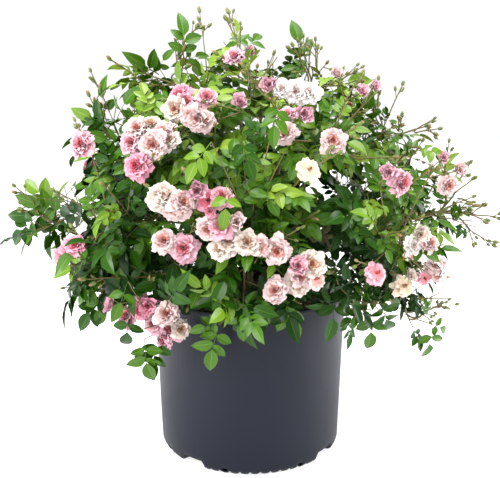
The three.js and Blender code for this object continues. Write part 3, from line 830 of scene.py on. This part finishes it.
bloomLook = {
    "width": 35, "depth": 12, "halfOpen": 24, "halfOpenScale": 1.25, "shellHalfDepth": 230, "forward": 9,
    "lowBelow": 262, "lowForward": 0.5, "highAbove": 390, "highBack": 0.3, "sidePast": 170, "sideForward": 0.2,
    "toViewer": 0.75, "liftBelow": 330, "lift": 0.007, "blownChance": 0.06, "blownChanceAside": 0.35, "room": 0.47,
    "spurRadii": (1.3, 0.9), "spurAt": (0.3, 0.45, 0.6, 0.75, 0.9), "stalkRadius": 0.8, "fan": 0.016, "toss": 0.36,
}
budLook = {
    "stalkRadii": (1, 0.75), "pedicelRadii": (0.7, 0.6), "pedicel": (6, 13), "toss": 0.75, "apart": 0.16,
    "sizes": (0.65, 1),
}

# Leaves grow in sprays. Hanging tips are (x, y, height, tint), bud tips are (x, height), and openings are the
# (x, z, radius) of gaps that are seen right through the bush.
sprays = {
    "leafRun": 71, "leafSizes": (0.88, 0.76, 0.62), "sizeSpread": (0.92, 1.06), "bodyAt": 0.62, "halfBreadth": 0.42,
    "apart": 10.2, "toss": 0.8, "frontward": 0.4, "sideward": 0.55, "stemNode": 11.5, "lateralNode": 12,
    "lateralEvery": 12, "lateralLength": 72, "subLength": 34, "spill": 16, "tipSpill": 32, "loose": 60,
    "looseReach": 1.3, "budChance": 0.22, "fullInside": 0.5, "barerSide": 0.58, "barerLeft": 1.25,
    "fullness": {"skirt": 0.66, "shoulder": 0.42, "crest": 0.28, "top": 0.14, "heart": 1},
}
tintLook = {  # a leaf's green: paler at the outside and towards the top, as young growth and as painted light from above, darker inside and low down as painted shade, and darker on the left
    "outside": 0.28, "rise": 1.2, "riseFrom": 216, "scatter": (-0.3, 0.28), "left": 0.14, "leftFrom": 110, "low": 0.16,
    "lowBelow": 300, "limits": (0.26, 0.5, 0.8, 1.14),
}
outline = {  # where leaves end, above and below the bush's waist, with (x, depth) of the dips in its upper edge
    "radius": 352, "waist": 330, "above": 300, "below": 240, "foot": 222, "sideDrop": 36, "backDrop": 0.25,
    "fullTop": 0.98, "fullLow": 1.08, "lean": 0.05, "dipWidth": 26,
    "dips": ((24, 0.2), (-104, 0.16), (136, 0.14), (-238, 0.2), (226, 0.1)),
}
hangingLook = {
    "droop": 0.2, "lowDroop": 0.8, "lowBelow": 260, "frontPast": -200, "arch": 10, "leave": 14, "radii": (1.1, 0.7),
    "size": 0.86, "frontSize": 0.7, "leftSize": 1.04, "leftPast": -280, "behindAt": 0.84, "behindSize": 0.6,
}
sprigLook = {
    "depth": (-60, 20), "endRun": 36, "leave": 16, "radii": (1.4, 1), "reach": 24, "sideAt": (0.66, 0.86),
    "sideReach": (14, 24),
}
hangingTips = [
    (-124, -170, 144, "mid"), (-50, -185, 167, "mid"), (-8, -187, 205, "mid"), (59, -185, 207, "mid"),
    (101, -172, 203, "deep"), (157, -120, 168, "mid"), (251, -60, 132, "mid"), (-202, -80, 188, "mid"),
    (-262, -80, 270, "fresh"), (-150, 150, 166, "mid"), (-60, 200, 172, "fresh"), (40, 205, 160, "mid"),
    (120, 180, 182, "deep"), (204, 120, 168, "mid"), (-236, 60, 176, "deep"), (268, 40, 160, "fresh"),
    (74, -206, 384, "mid"), (98, -196, 356, "deep"), (-74, -256, 396, "fresh"), (-26, -254, 340, "fresh"),
    (20, -240, 430, "mid"), (4, -238, 394, "deep"), (-156, -214, 230, "mid"), (-343, 0, 298, "deep"),
    (-300, -8, 290, "deep"), (-318, 6, 372, "fresh"), (-208, -20, 516, "mid"), (-152, -24, 540, "mid"),
    (-240, -16, 474, "fresh"), (-84, -30, 600, "mid"), (60, -20, 590, "mid"), (150, -30, 520, "fresh"),
    (184, -124, 188, "deep"), (-330, -10, 330, "deep"), (-312, -20, 352, "mid"), (-158, -140, 176, "deep"),
    (215, -100, 400, "mid"), (196, -130, 376, "mid"), (104, -160, 425, "mid"), (-152, -150, 428, "mid"),
    (100, -180, 372, "deep"), (-160, -60, 500, "mid"), (160, -40, 490, "mid"), (146, -120, 440, "deep"),
    (-208, -60, 470, "deep"), (-30, -20, 586, "mid"), (-26, -190, 428, "deep"), (10, -214, 330, "deep"),
    (34, -220, 352, "mid"), (-6, -210, 300, "deep"),
]
budTips = [
    (72, 575), (86, 566), (62, 567), (-75, 596), (-89, 565), (153, 535), (177, 519), (165, 505), (198, 467),
    (262, 453), (277, 433), (299, 409), (350, 332), (326, 345), (335, 294), (276, 197), (288, 203), (-222, 498),
    (-327, 376), (-30, 606),
]
openings = np.array([
    (-189, 484, 16), (-264, 389, 15), (19, 558, 14), (-128, 536, 12), (-71, 568, 12), (287, 220, 11),
    (-294, 365, 12), (-203, 158, 12), (265, 215, 10), (261, 173, 11), (-243, 460, 10), (57, 507, 10),
    (-318, 294, 11), (331, 309, 10), (-233, 344, 9), (-288, 393, 10), (180, 471, 9), (-255, 408, 9), (162, 325, 7),
    (238, 448, 8), (216, 205, 8), (-276, 300, 9), (297, 329, 8), (284, 403, 7), (-322, 342, 9), (-276, 322, 7),
    (-228, 333, 8), (-304, 330, 8), (-246, 325, 8), (305, 269, 9), (152, 176, 7), (-247, 224, 7), (216, 250, 6),
    (-59, 576, 8), (87, 548, 8), (3, 507, 7), (-146, 355, 6), (-104, 585, 12), (-112, 566, 13), (-134, 551, 13),
    (-5, 588, 11), (8, 570, 11), (58, 586, 10), (-14, 514, 11), (179, 473, 9), (-292, 434, 16), (-278, 420, 12),
    (-296, 373, 9), (-316, 276, 13), (-302, 262, 13), (-284, 248, 13), (-253, 190, 13), (-236, 177, 15),
    (-229, 158, 11),
])
twigs = {}
leaves = {tint: [] for tint in leafGreens}
blooms = {kind: [] for kind in petalTints}
calyces, buds, openBlooms = [], [], []


def reachShare(point):
    # 0 in the middle of the bush and 1 where leaves end: narrower towards the top, a little barer on the +X side
    aside = ramp((abs(point.x) - 80) / 150)
    if point.z < outline["foot"] - outline["sideDrop"] * aside - outline["backDrop"] * max(0, point.y + 60):
        return 2
    out = math.hypot(point.x, point.y / bush["depthShare"]) / outline["radius"]
    rise = point.z - outline["waist"]
    if rise > 0:
        dips = sum(depth * math.exp(-((point.x - x) / outline["dipWidth"]) ** 2) for x, depth in outline["dips"])
        full = outline["fullTop"] - outline["lean"] * point.x / 350 - dips * ramp(rise / 120)
        return (out ** 1.5 + (rise / outline["above"]) ** 1.5) / full
    return (out ** 1.8 + (-rise / outline["below"]) ** 1.8) / outline["fullLow"]


def facingAt(place):
    return (place - Vector((0, 0, bush["middleHeight"] - 60))).normalized()


def frontTruss(flowers):
    # each bloom on the bush's front surface, which is also held clear of the pot
    look, spots = bloomLook, []
    for x, height, kind, width in flowers:
        rise = (height - bush["middleHeight"]) / bush["bloomHalfHeight"]
        inside = 1 - (x / bush["bloomHalfWidth"]) ** 2 - rise ** 2
        place = Vector((x, -look["shellHalfDepth"] * math.sqrt(max(0.2, inside)), height))
        ahead = look["forward"] + look["lowForward"] * max(0, look["lowBelow"] - height)
        ahead -= look["highBack"] * max(0, height - look["highAbove"])
        ahead += look["sideForward"] * max(0, abs(x + 10) - look["sidePast"])
        place += (viewerPlace - place).normalized() * ahead
        facing = facingAt(place) + (viewerPlace - place).normalized() * look["toViewer"]
        facing += up * look["lift"] * max(0, look["liftBelow"] - height)
        spots.append((kind, place, facing.normalized(), width))
    return spots


def backTruss(i):
    # one bloom, or a ring of them, a little inside the bush's surface
    rule = backTrusses
    azimuth = rule["from"] + (rule["to"] - rule["from"]) * (i + 0.5) / rule["count"]
    place = bloomPoint(azimuth, rule["low"] + (rule["high"] - rule["low"]) * (i * 0.618 % 1))
    facing = facingAt(place)
    place -= facing * (rule["inset"] + rule["highInset"] * max(0, place.z - 350))
    across = up.cross(facing).normalized()
    spots, count = [], rule["sizes"][i % 5]
    for n in range(count):
        turn = math.tau * n / count + i
        ring = across * math.cos(turn) + facing.cross(across) * math.sin(turn)
        spot = place + ring * rule["apart"] * math.sqrt(count - 1) + facing * 8
        spots.append((rule["kinds"][(i * 2 + n) % 6], spot, facing, rule["width"] + (i * 7 + n * 5) % 10))
    return spots


def addTwig(mass, sweep, foot, thin, count):
    line = [(sweep.pointAt(i / count), foot + (thin - foot) * i / count) for i in range(count + 1)]
    twigs.setdefault(mass["tier"]["name"], []).append(line)


def stray(rng, reach):
    return Vector([rng.uniform(-reach, reach) for _ in range(3)])


def addBuds(mass, rng, start, heading, count, reach):
    # a thin branching stalk with small closed buds
    end = start + heading * reach
    addTwig(mass, Sweep(start, start.lerp(end, 0.5) + up * reach * 0.06, end), *budLook["stalkRadii"], 4)
    for n in range(count):
        way = (heading + stray(rng, budLook["toss"])).normalized() if n else heading
        pedicel = rng.uniform(*budLook["pedicel"])
        foot = end - heading * reach * budLook["apart"] * n
        top = foot + way * pedicel
        addTwig(mass, Sweep(foot, top), *budLook["pedicelRadii"], 1)
        buds.append((rng.randrange(2), frameOf(top, way, mass["light"] + up * 0.01, rng.uniform(*budLook["sizes"]))))


def startMass(mass):
    # the stem from the bough's tip to the furthest sprig
    ahead = (mass["tip"] - mass["middle"]).normalized()
    mass["ahead"] = ahead
    mass["shoots"] = []  # (sweep, from, to, leaf size) of the shoots that also bear leaves
    mass["outward"] = (mass["middle"] - Vector((0, 0, bush["middleHeight"] - 90))).normalized()
    mass["light"] = (mass["outward"] * 0.8 + up * 0.5).normalized()
    mass["stem"] = Sweep(
        mass["entry"] + mass["arrival"] * bush["seat"], mass["entry"].lerp(mass["middle"], 0.7),
        mass["tip"] - ahead * bush["leafReach"] * bush["endLeaf"],
    )
    addTwig(mass, mass["stem"], bush["stemFoot"], bush["twigTip"] + 0.2, 10)


def massAt(place):
    return max(masses, key=lambda mass: ownSpace(place, mass))


def growTruss(flowers, number):
    # a spur from the nearest stem, and a short stalk from its end to each bloom
    look = bloomLook
    rng = random.Random(1000 + number)
    middle = sum((place for kind, place, facing, width in flowers), Vector()) / len(flowers)
    facing, mass = facingAt(middle), massAt(middle)
    spurEnd = middle - facing * (look["depth"] + (16 if len(flowers) > 1 else 6))
    start = min(map(mass["stem"].pointAt, look["spurAt"]), key=lambda point: (point - spurEnd).length)
    spur = Sweep(start, start.lerp(spurEnd, 0.5) - up * 3 + stray(rng, 5), spurEnd)
    addTwig(mass, spur, *look["spurRadii"], 6)
    mass["shoots"].append((spur, 0.15, 0.9, 0.8))
    for kind, place, looking, width in flowers:
        way = (looking + (place - middle) * look["fan"] + stray(rng, look["toss"])).normalized()
        foot = place - way * look["depth"] * width / look["width"] + looking * rng.uniform(-4, 4)
        stalk = Sweep(spurEnd, spurEnd.lerp(foot, 0.6) + way * 1, foot + way * 0.5)
        addTwig(mass, stalk, look["stalkRadius"], look["stalkRadius"], 3)
        face = way.orthogonal()
        face.rotate(Matrix.Rotation(rng.uniform(0, math.tau), 3, way))
        halfOpen = width < look["halfOpen"]
        matrix = frameOf(foot, face, way, width / look["width"] * (look["halfOpenScale"] if halfOpen else 1))
        chance = look["blownChanceAside" if place.x > 60 else "blownChance"]
        blown = kind == "faded" or rng.random() < chance
        blooms[kind].append((4 + rng.randrange(2) if halfOpen else 6 if blown else rng.randrange(4), matrix))
        calyces.append((0, matrix))
        openBlooms.append((foot, way, width * look["room"]))
    aside = facing.cross(up).normalized() * rng.choice((-1, 1)) + up * rng.uniform(0, 1.2) + facing * 0.3
    addBuds(mass, rng, spurEnd, aside.normalized(), rng.randrange(2, 5), rng.uniform(26, 38))


def nearestStem(target, rng):
    # the mass whose space holds a place, the nearest point of its stem and the stem's heading there
    mass = massAt(target)
    stem = mass["stem"]
    at = min((0.5, 0.65, 0.8, 0.95), key=lambda at: (stem.pointAt(at) - target).length) - rng.uniform(0, 0.14)
    return mass, stem.pointAt(at), stem.headingAt(at)


def growHanging(target, tint, number):
    # a shoot that droops and ends in a leaf, with a smaller one behind it
    look = hangingLook
    rng = random.Random(2000 + number)
    mass, start, along = nearestStem(target, rng)
    inFront = target.y < look["frontPast"]
    droop = look["lowDroop" if target.z < look["lowBelow"] or inFront else "droop"]
    fall = ((target - start).normalized() * (1.25 - droop) - up * droop + stray(rng, 0.2)).normalized()
    joint = target - fall * sprays["leafRun"] * 0.8
    shoot = Sweep(start, start.lerp(joint, 0.4) + up * look["arch"] + along * look["leave"], joint)
    addTwig(mass, shoot, *look["radii"], 7)
    mass["shoots"].append((shoot, 0.3, 0.75, 0.75))
    outward = Vector((target.x * 0.14, target.y - (100 if target.y < 60 else 0), 0)).normalized()
    front = (outward + up * 0.25 + stray(rng, 0.3)).normalized()
    size = look["frontSize" if inFront else "leftSize" if target.x < look["leftPast"] else "size"]
    leaves[tint].append((rng.choice(openLooks), frameOf(joint, fall, front, size)))
    aside = (fall * 0.5 + fall.cross(front).normalized() * (1 if number % 2 else -1)).normalized()
    behind = shoot.pointAt(look["behindAt"])
    if not hidesBloom(behind + aside * 20):
        leaves[tint].append((rng.choice(openLooks), frameOf(behind, aside, front, look["behindSize"])))


def growBudSprig(x, height, number):
    # a long thin stalk past the leaves that ends in a spray of buds
    look = sprigLook
    rng = random.Random(3000 + number)
    target = Vector((x, rng.uniform(*look["depth"]), height))
    mass, start, along = nearestStem(target, rng)
    heading = (target - start).normalized()
    joint = target - heading * look["endRun"]
    lower = start.lerp(joint, 0.35) + along * look["leave"] + stray(rng, 7)
    shoot = Sweep(start, lower, start.lerp(joint, 0.7) + stray(rng, 9), joint)
    addTwig(mass, shoot, *look["radii"], 7)
    mass["shoots"].append((shoot, 0.3, 0.9, 0.62))
    addBuds(mass, rng, joint, heading, rng.randrange(3, 6), look["reach"])
    for at in look["sideAt"]:
        away = (heading + stray(rng, 0.9)).normalized()
        addBuds(mass, rng, shoot.pointAt(at), away, 2, rng.uniform(*look["sideReach"]))


def hidesBloom(point):
    # whether a leaf there would stand in front of an open bloom, or inside it
    lead = np.array(point) - bloomFeet
    for ways in (bloomWays, bloomSights):
        along = (lead * ways).sum(1)
        off = np.linalg.norm(lead - ways * along[:, None], axis=1)
        if ((along > -3) & (along < 130) & (off < bloomRooms)).any():
            return True
    return False


def leafGrowth(x):
    # leaves are larger on the -X side and smaller on the airy +X side
    return 1.14 if x < -170 else 1 - 0.2 * ramp((x - 30) / 110)


def closesOpening(points):
    # whether any of the points is seen in one of the bush's gaps
    lead = np.array(points) - viewerSpot
    seen = viewerSpot + lead * (-viewerSpot[1] / lead[:, 1:2])
    off = np.hypot(seen[:, None, 0] - openings[:, 0], seen[:, None, 2] - openings[:, 1])
    return (off < openings[:, 2]).any()


def growLeaves(mass):
    rng = random.Random(mass["seed"])
    outward, light, stem = mass["outward"], mass["light"], mass["stem"]
    fullness = sprays["fullness"][mass["tier"]["name"]]
    taken = []  # the middles of leaves already grown

    def addLeaf(start, direction, tint, scale=1.0, check=True, loose=0):
        # loose is how much further than usual a leaf may reach past the mass's own space
        growth = leafGrowth(start.x)
        inside = sprays["fullInside"]
        edgeward = max(0, reachShare(start + direction * sprays["leafRun"] * 0.5) - inside) / (1 - inside)
        leftward = sprays["barerLeft"] if start.x < 0 else 1
        barer = 1 - sprays["barerSide"] * leftward * max(0, abs(start.x) - 120) / 230
        if check and rng.random() > (1 - (1 - fullness) * edgeward) * barer:
            return
        lean = rng.random()
        face = outward * (0.3 + 0.7 * lean) + up * (0.9 - 0.6 * lean) + stray(rng, sprays["toss"])
        frontward = math.copysign(sprays["frontward"], start.y)
        face = Vector((face.x * sprays["sideward"], face.y + frontward, face.z))
        side = direction.cross(face).normalized()
        for shrink in sprays["leafSizes"]:
            size = scale * shrink * rng.uniform(*sprays["sizeSpread"]) * growth
            run = sprays["leafRun"] * size
            end, body = start + direction * run, start + direction * run * sprays["bodyAt"]
            edges = [body + side * run * sprays["halfBreadth"], body - side * run * sprays["halfBreadth"]]
            spilt = ownSpace(body, mass) < -sprays["spill"] - loose or ownSpace(end, mass) < -sprays["tipSpill"] - loose
            if spilt or abs(end.x) > bush["halfWidth"] or not all(map(clearOfPot, [end, body, *edges])):
                continue
            if any((body - other).length < sprays["apart"] * growth for other in taken):
                continue
            if check and (
                reachShare(end) > (sprays["looseReach"] if loose else 1)
                or hidesBloom(body) or hidesBloom(end) or closesOpening([start, end, body, *edges])
            ):
                continue
            leaves[tint].append((rng.randrange(len(leafLook)), frameOf(start, direction, face, size)))
            taken.append(body)
            return

    def leafAround(sweep, at, turn, tint, scale, loose=0):
        ahead = sweep.headingAt(at)
        radial = ahead.cross(light).normalized()
        radial.rotate(Matrix.Rotation(turn, 3, ahead))
        direction = (radial + ahead * 0.62 + light * 0.16 - up * 0.12 + stray(rng, 0.3)).normalized()
        addLeaf(sweep.pointAt(at), direction, fresher(tint, rng.choice((-1, -1, 0, 0, 1))), scale, loose=loose)

    def sprayTint(point):
        # inner and lower sprays are darker, as older leaves and as painted shade; outer and higher sprays are paler, as
        # young shoots and as painted light from above
        look = tintLook
        out = math.hypot(point.x, point.y / bush["depthShare"]) / 340
        # the rise term is painted light on the upper sprays
        share = look["outside"] * out + look["rise"] * max(0, (point.z - look["riseFrom"]) / 400)
        share += rng.uniform(*look["scatter"])
        share -= look["left"] * ramp((-point.x - look["leftFrom"]) / 120)
        # darker low down: painted shade under the bush
        share -= look["low"] * ramp((look["lowBelow"] - point.z) / 90)
        return tintOrder[sum(share > limit for limit in look["limits"])]

    def fresher(tint, steps=1):
        return tintOrder[min(4, max(0, tintOrder.index(tint) + steps))]

    def room(end, way, spill):
        return ownSpace(end, mass) >= -spill and clearOfPot(end) and reachShare(end + way * 40) < 1

    def growSub(lateral, heading, hand, tint):
        leave = rng.uniform(0.4, 0.7)
        across = heading.cross(light).normalized() * hand
        way = (lateral.headingAt(leave) + across * 0.9 + light * 0.25).normalized()
        start = lateral.pointAt(leave)
        end = start + way * sprays["subLength"] * rng.uniform(0.7, 1.1)
        if room(end, way, 6):
            twig = Sweep(start, start.lerp(end, 0.5) - light * 2, end)
            addTwig(mass, twig, 0.8, 0.5, 3)
            addLeaf(twig.pointAt(0.95), way, fresher(tint, rng.randrange(2)), 0.85)
            leafAround(twig, 0.55, rng.uniform(0, math.tau), tint, 0.8)

    def growLateral(at, number):
        # the longest side shoot that has room, with its leaves, side twigs and perhaps buds
        start, axis = stem.pointAt(at), stem.headingAt(at)
        across = axis.cross(up).normalized()
        across.rotate(Matrix.Rotation(goldenAngle * number + rng.random(), 3, axis))
        heading = (across + axis * 0.45 + light * 0.35).normalized()
        full = sprays["lateralLength"] * (1.15 - 0.45 * at) * rng.uniform(0.8, 1.2)
        for share in (1, 0.75, 0.5):
            end = start + heading * full * share
            if not room(end, heading, 4) or not clearOfPot(start.lerp(end, 0.6)):
                continue
            lateral = Sweep(start, start.lerp(end, 0.5) - light * full * 0.07, end + light * full * 0.05)
            addTwig(mass, lateral, bush["twigFoot"], bush["twigTip"], 6)
            tint = sprayTint(end)
            tipTint = fresher(tint, rng.choice((0, 0, 1, 1, 2)))
            addLeaf(lateral.pointAt(0.97), lateral.headingAt(0.9), tipTint, 0.95)
            for k in range(int(lateral.length / sprays["lateralNode"])):
                spot = 0.12 + k * sprays["lateralNode"] / lateral.length
                if spot < 0.95:
                    leafAround(lateral, spot, math.pi * k + rng.uniform(-0.5, 0.5), tint, 0.88)
            if share > 0.6:
                for hand in (-1, 1):
                    growSub(lateral, heading, hand, tint)
            if rng.random() < sprays["budChance"]:
                rising = (heading + light * 0.7).normalized()
                addBuds(mass, rng, lateral.pointAt(0.9), rising, rng.randrange(2, 5), rng.uniform(34, 52))
            return

    addLeaf(stem.pointAt(0.98), mass["ahead"], fresher(sprayTint(mass["tip"])), 0.9, check=False)
    for n in range(int(stem.length / sprays["stemNode"])):
        at = 0.16 + n * sprays["stemNode"] / stem.length
        if at < 0.97:
            leafAround(stem, at, goldenAngle * n, sprayTint(stem.pointAt(at)), 0.95)

    for shoot, first, last, scale in mass["shoots"]:
        tint = sprayTint(shoot.pointAt(0.7))
        loose = sprays["loose"] if shoot.pointAt(last).y < -180 else 0
        for n in range(int(shoot.length * (last - first) / sprays["lateralNode"]) + 1):
            spot = first + n * sprays["lateralNode"] / shoot.length
            leafAround(shoot, spot, math.pi * n + rng.uniform(-0.8, 0.8), tint, scale, loose)

    count = int(stem.length / sprays["lateralEvery"])
    for n in range(count):
        growLateral(0.06 + 0.86 * n / max(1, count - 1), n)


for mass in masses:
    startMass(mass)
allTrusses = [*map(frontTruss, frontTrusses), *map(backTruss, range(backTrusses["count"]))]
for number, flowers in enumerate(allTrusses):
    growTruss(flowers, number)
bloomFeet, bloomWays, bloomRooms = (np.array(values) for values in zip(*openBlooms))
bloomSights = np.array([(viewerPlace - foot).normalized() if foot.y < 0 else way for foot, way, room in openBlooms])
for number, (x, y, height, tint) in enumerate(hangingTips):
    growHanging(Vector((x, y, height)), tint, number)
for number, (x, height) in enumerate(budTips):
    growBudSprig(x, height, number)
for mass in masses:
    growLeaves(mass)
counts = [sum(map(len, group)) for group in (leaves.values(), blooms.values(), [buds])]
print("stage: grown {} leaves, {} blooms, {} buds".format(*counts))


# The shapes of blooms and buds.
petalRings = [  # count, length, width, tilt, foot, cup, roll, part, rim; the inner rings take the darker tints, partly as painted shade deep in the bloom
    (9, 17.5, 12.5, 93, 1.2, 0.1, 0.2, 1, 0), (10, 16.2, 11.5, 82, 1.2, 0.14, 0.2, 1, 0),
    (10, 14.6, 10.5, 72, 1.2, 0.18, 0.18, 1, 0), (10, 12.8, 9.5, 62, 1.1, 0.22, 0.16, 1, 0),
    (9, 11, 8.4, 51, 1, 0.26, 0.14, 1, 0), (8, 9.4, 7.2, 40, 0.9, 0.3, 0.12, 2, 1),
    (7, 7.8, 6, 27, 0.7, 0.3, 0.08, 2, 1), (4, 6.4, 4.6, 12, 0.3, 0.3, 0.02, 3, 2),
]
bloomTightness = (1, 0.96, 0.9, 0.84, 0.5, 0.38, 1.02)  # the last is blown open and has lost petals


def petal(bm, length, width, tilt, base, turn, cup, roll, part, rim, rng):
    made = bmesh.ops.create_grid(bm, x_segments=4, y_segments=3, size=0.5)["verts"]
    phase = rng.uniform(0, 6)
    for vert in made:
        far, side = vert.co.y + 0.5, vert.co.x * 2
        half = width / 2 * (0.3 + 0.7 * math.sin(math.pi / 2 * ramp(far * 1.35))) * (1.14 - 0.26 * max(0, 3 * far - 2))
        notch = 1 - 0.17 * side * side * far + 0.045 * math.sin(side * 6 + phase * 2) * far
        ruffle = 0.15 * width * math.sin(side * 5 + phase) * far
        lift = cup * side * side * width * far - roll * length * far ** 2.5 + ruffle
        vert.co = Vector((side * half, far * length * notch, lift))
    faces = {face for vert in made for face in vert.link_faces}
    for place, face in enumerate(sorted(faces, key=lambda face: -face.calc_center_median().y)):
        # the outer row of each petal takes the paler rim tint, partly a painted highlight
        face.material_index = rim if place < 4 else part
    turned(bm, made, math.radians(90 - tilt), "X")
    bmesh.ops.translate(bm, verts=made, vec=(0, base, 0))
    turned(bm, made, turn, "Z")


def bloomShape(number, tightness):
    rng = random.Random(70 + number)
    halfOpen, blown = tightness < 0.6, tightness > 1
    bm = bmesh.new()
    for ring, (count, length, width, tilt, base, cup, roll, part, rim) in enumerate(petalRings):
        if halfOpen and ring % 2 or blown and ring not in (0, 2, 7):
            continue
        count = 6 if blown else count
        for n in range(count):
            petal(
                bm, length * rng.uniform(0.78, 1.1), width * rng.uniform(0.8, 1.2),
                tilt * tightness + rng.uniform(-15, 15), base,
                math.tau * (n + 0.5 * (ring % 2) + rng.uniform(-0.22, 0.22)) / count,
                cup + (0.14 if halfOpen else 0), roll * rng.uniform(0.3, 1.8) * tightness, part, rim, rng,
            )
    heart = bmesh.ops.create_icosphere(bm, subdivisions=1, radius=2.7)["verts"]
    bmesh.ops.scale(bm, verts=heart, vec=(1, 1, 0.6))
    for face in {face for vert in heart for face in vert.link_faces}:
        face.material_index = 3
    return shapeOf(bm)


def withSepals(bm, steps, axis, place):
    # the shape with a ring of five sepals, thin grids placed by how far along and how far aside their points lie
    for n in range(5):
        made = bmesh.ops.create_grid(bm, x_segments=1, y_segments=steps, size=0.5)["verts"]
        for vert in made:
            vert.co = Vector(place(vert.co.y + 0.5, vert.co.x))
        turned(bm, made, math.tau * n / 5, axis)
    return shapeOf(bm)


def calyxShape():
    bm = bmesh.new()
    bmesh.ops.create_cone(bm, segments=8, radius1=1.2, radius2=2.8, depth=5, cap_ends=True)
    bmesh.ops.translate(bm, verts=bm.verts, vec=(0, 0, -2.7))
    flare = lambda far, side: (side * 4.4 * (1 - far) ** 0.8, 2 + far * 11, -1.2 - 2.4 * far * far)
    return withSepals(bm, 3, "Z", flare)


def budShape(opening):
    # a pointed bud in its sepals, with a coloured tip where it is opening
    bm = bmesh.new()
    bmesh.ops.create_uvsphere(bm, u_segments=7, v_segments=5, radius=1)
    for vert in bm.verts:
        far = vert.co.z
        girth = 2.1 * (1 - 0.4 * far) * (1.2 if opening else 1)
        vert.co = Vector((vert.co.x * girth, 3.2 + far * (5.4 if opening else 4.4), vert.co.y * girth))
    for face in bm.faces:
        face.material_index = 1 if opening and face.calc_center_median().y > 4.2 else 0
    clasp = lambda far, side: (side * 2.2 * (1 - far) ** 0.7, far * 7.5, 2.3 + 0.6 * far)
    return withSepals(bm, 2, "Y", clasp)


leafShapes = [leafShape(look, number) for number, look in enumerate(leafLook)]
for tint, (bladeColour, ribColour, gloss) in leafGreens.items():
    finishes = [plainFinish(f"leaf_{tint}", bladeColour, 0.28, gloss)]
    finishes.append(plainFinish(f"leaf_rib_{tint}", ribColour, 0.5, 0.14))
    spread(f"leaves_{tint}_1", leafShapes, leaves[tint], finishes, "foliage", smooth=False)

bloomShapes = [bloomShape(n, tightness) for n, tightness in enumerate(bloomTightness)]
for kind, tints in petalTints.items():
    # rim tints carry a painted highlight, inner and heart tints painted shade, besides the petals' own colours
    parts = zip(("rim", "body", "inner", "heart"), tints)
    finishes = [plainFinish(f"petal_{kind}_{part}", colour, 0.6, gloss=0.3, sheen=0.15) for part, colour in parts]
    spread(f"blooms_{kind}", bloomShapes, blooms[kind], finishes, "blossom")
spread("calyces", [calyxShape()], calyces, [plainFinish("calyx_green", (84, 112, 40), 0.5)], "foliage")
budFinishes = [plainFinish("bud_green", (86, 98, 36), 0.5), plainFinish("bud_tip", (128, 88, 58), 0.55)]
spread("rose_buds", [budShape(False), budShape(True)], buds, budFinishes, "blossom")

twigFinish = barkFinish("twig_bark", {"dark": (61, 58, 21), "pale": (105, 92, 38), "scale": 500, "depth": 0.0002})
for tierName, lines in twigs.items():
    nodes = [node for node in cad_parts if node.startswith(f"foliage_{tierName}")]
    addPiece(f"twigs_{tierName}", tubeMesh(f"twigs_{tierName}", lines, 0), [twigFinish], "green_wood", *nodes)
print("stage: leaves, flowers and twigs")
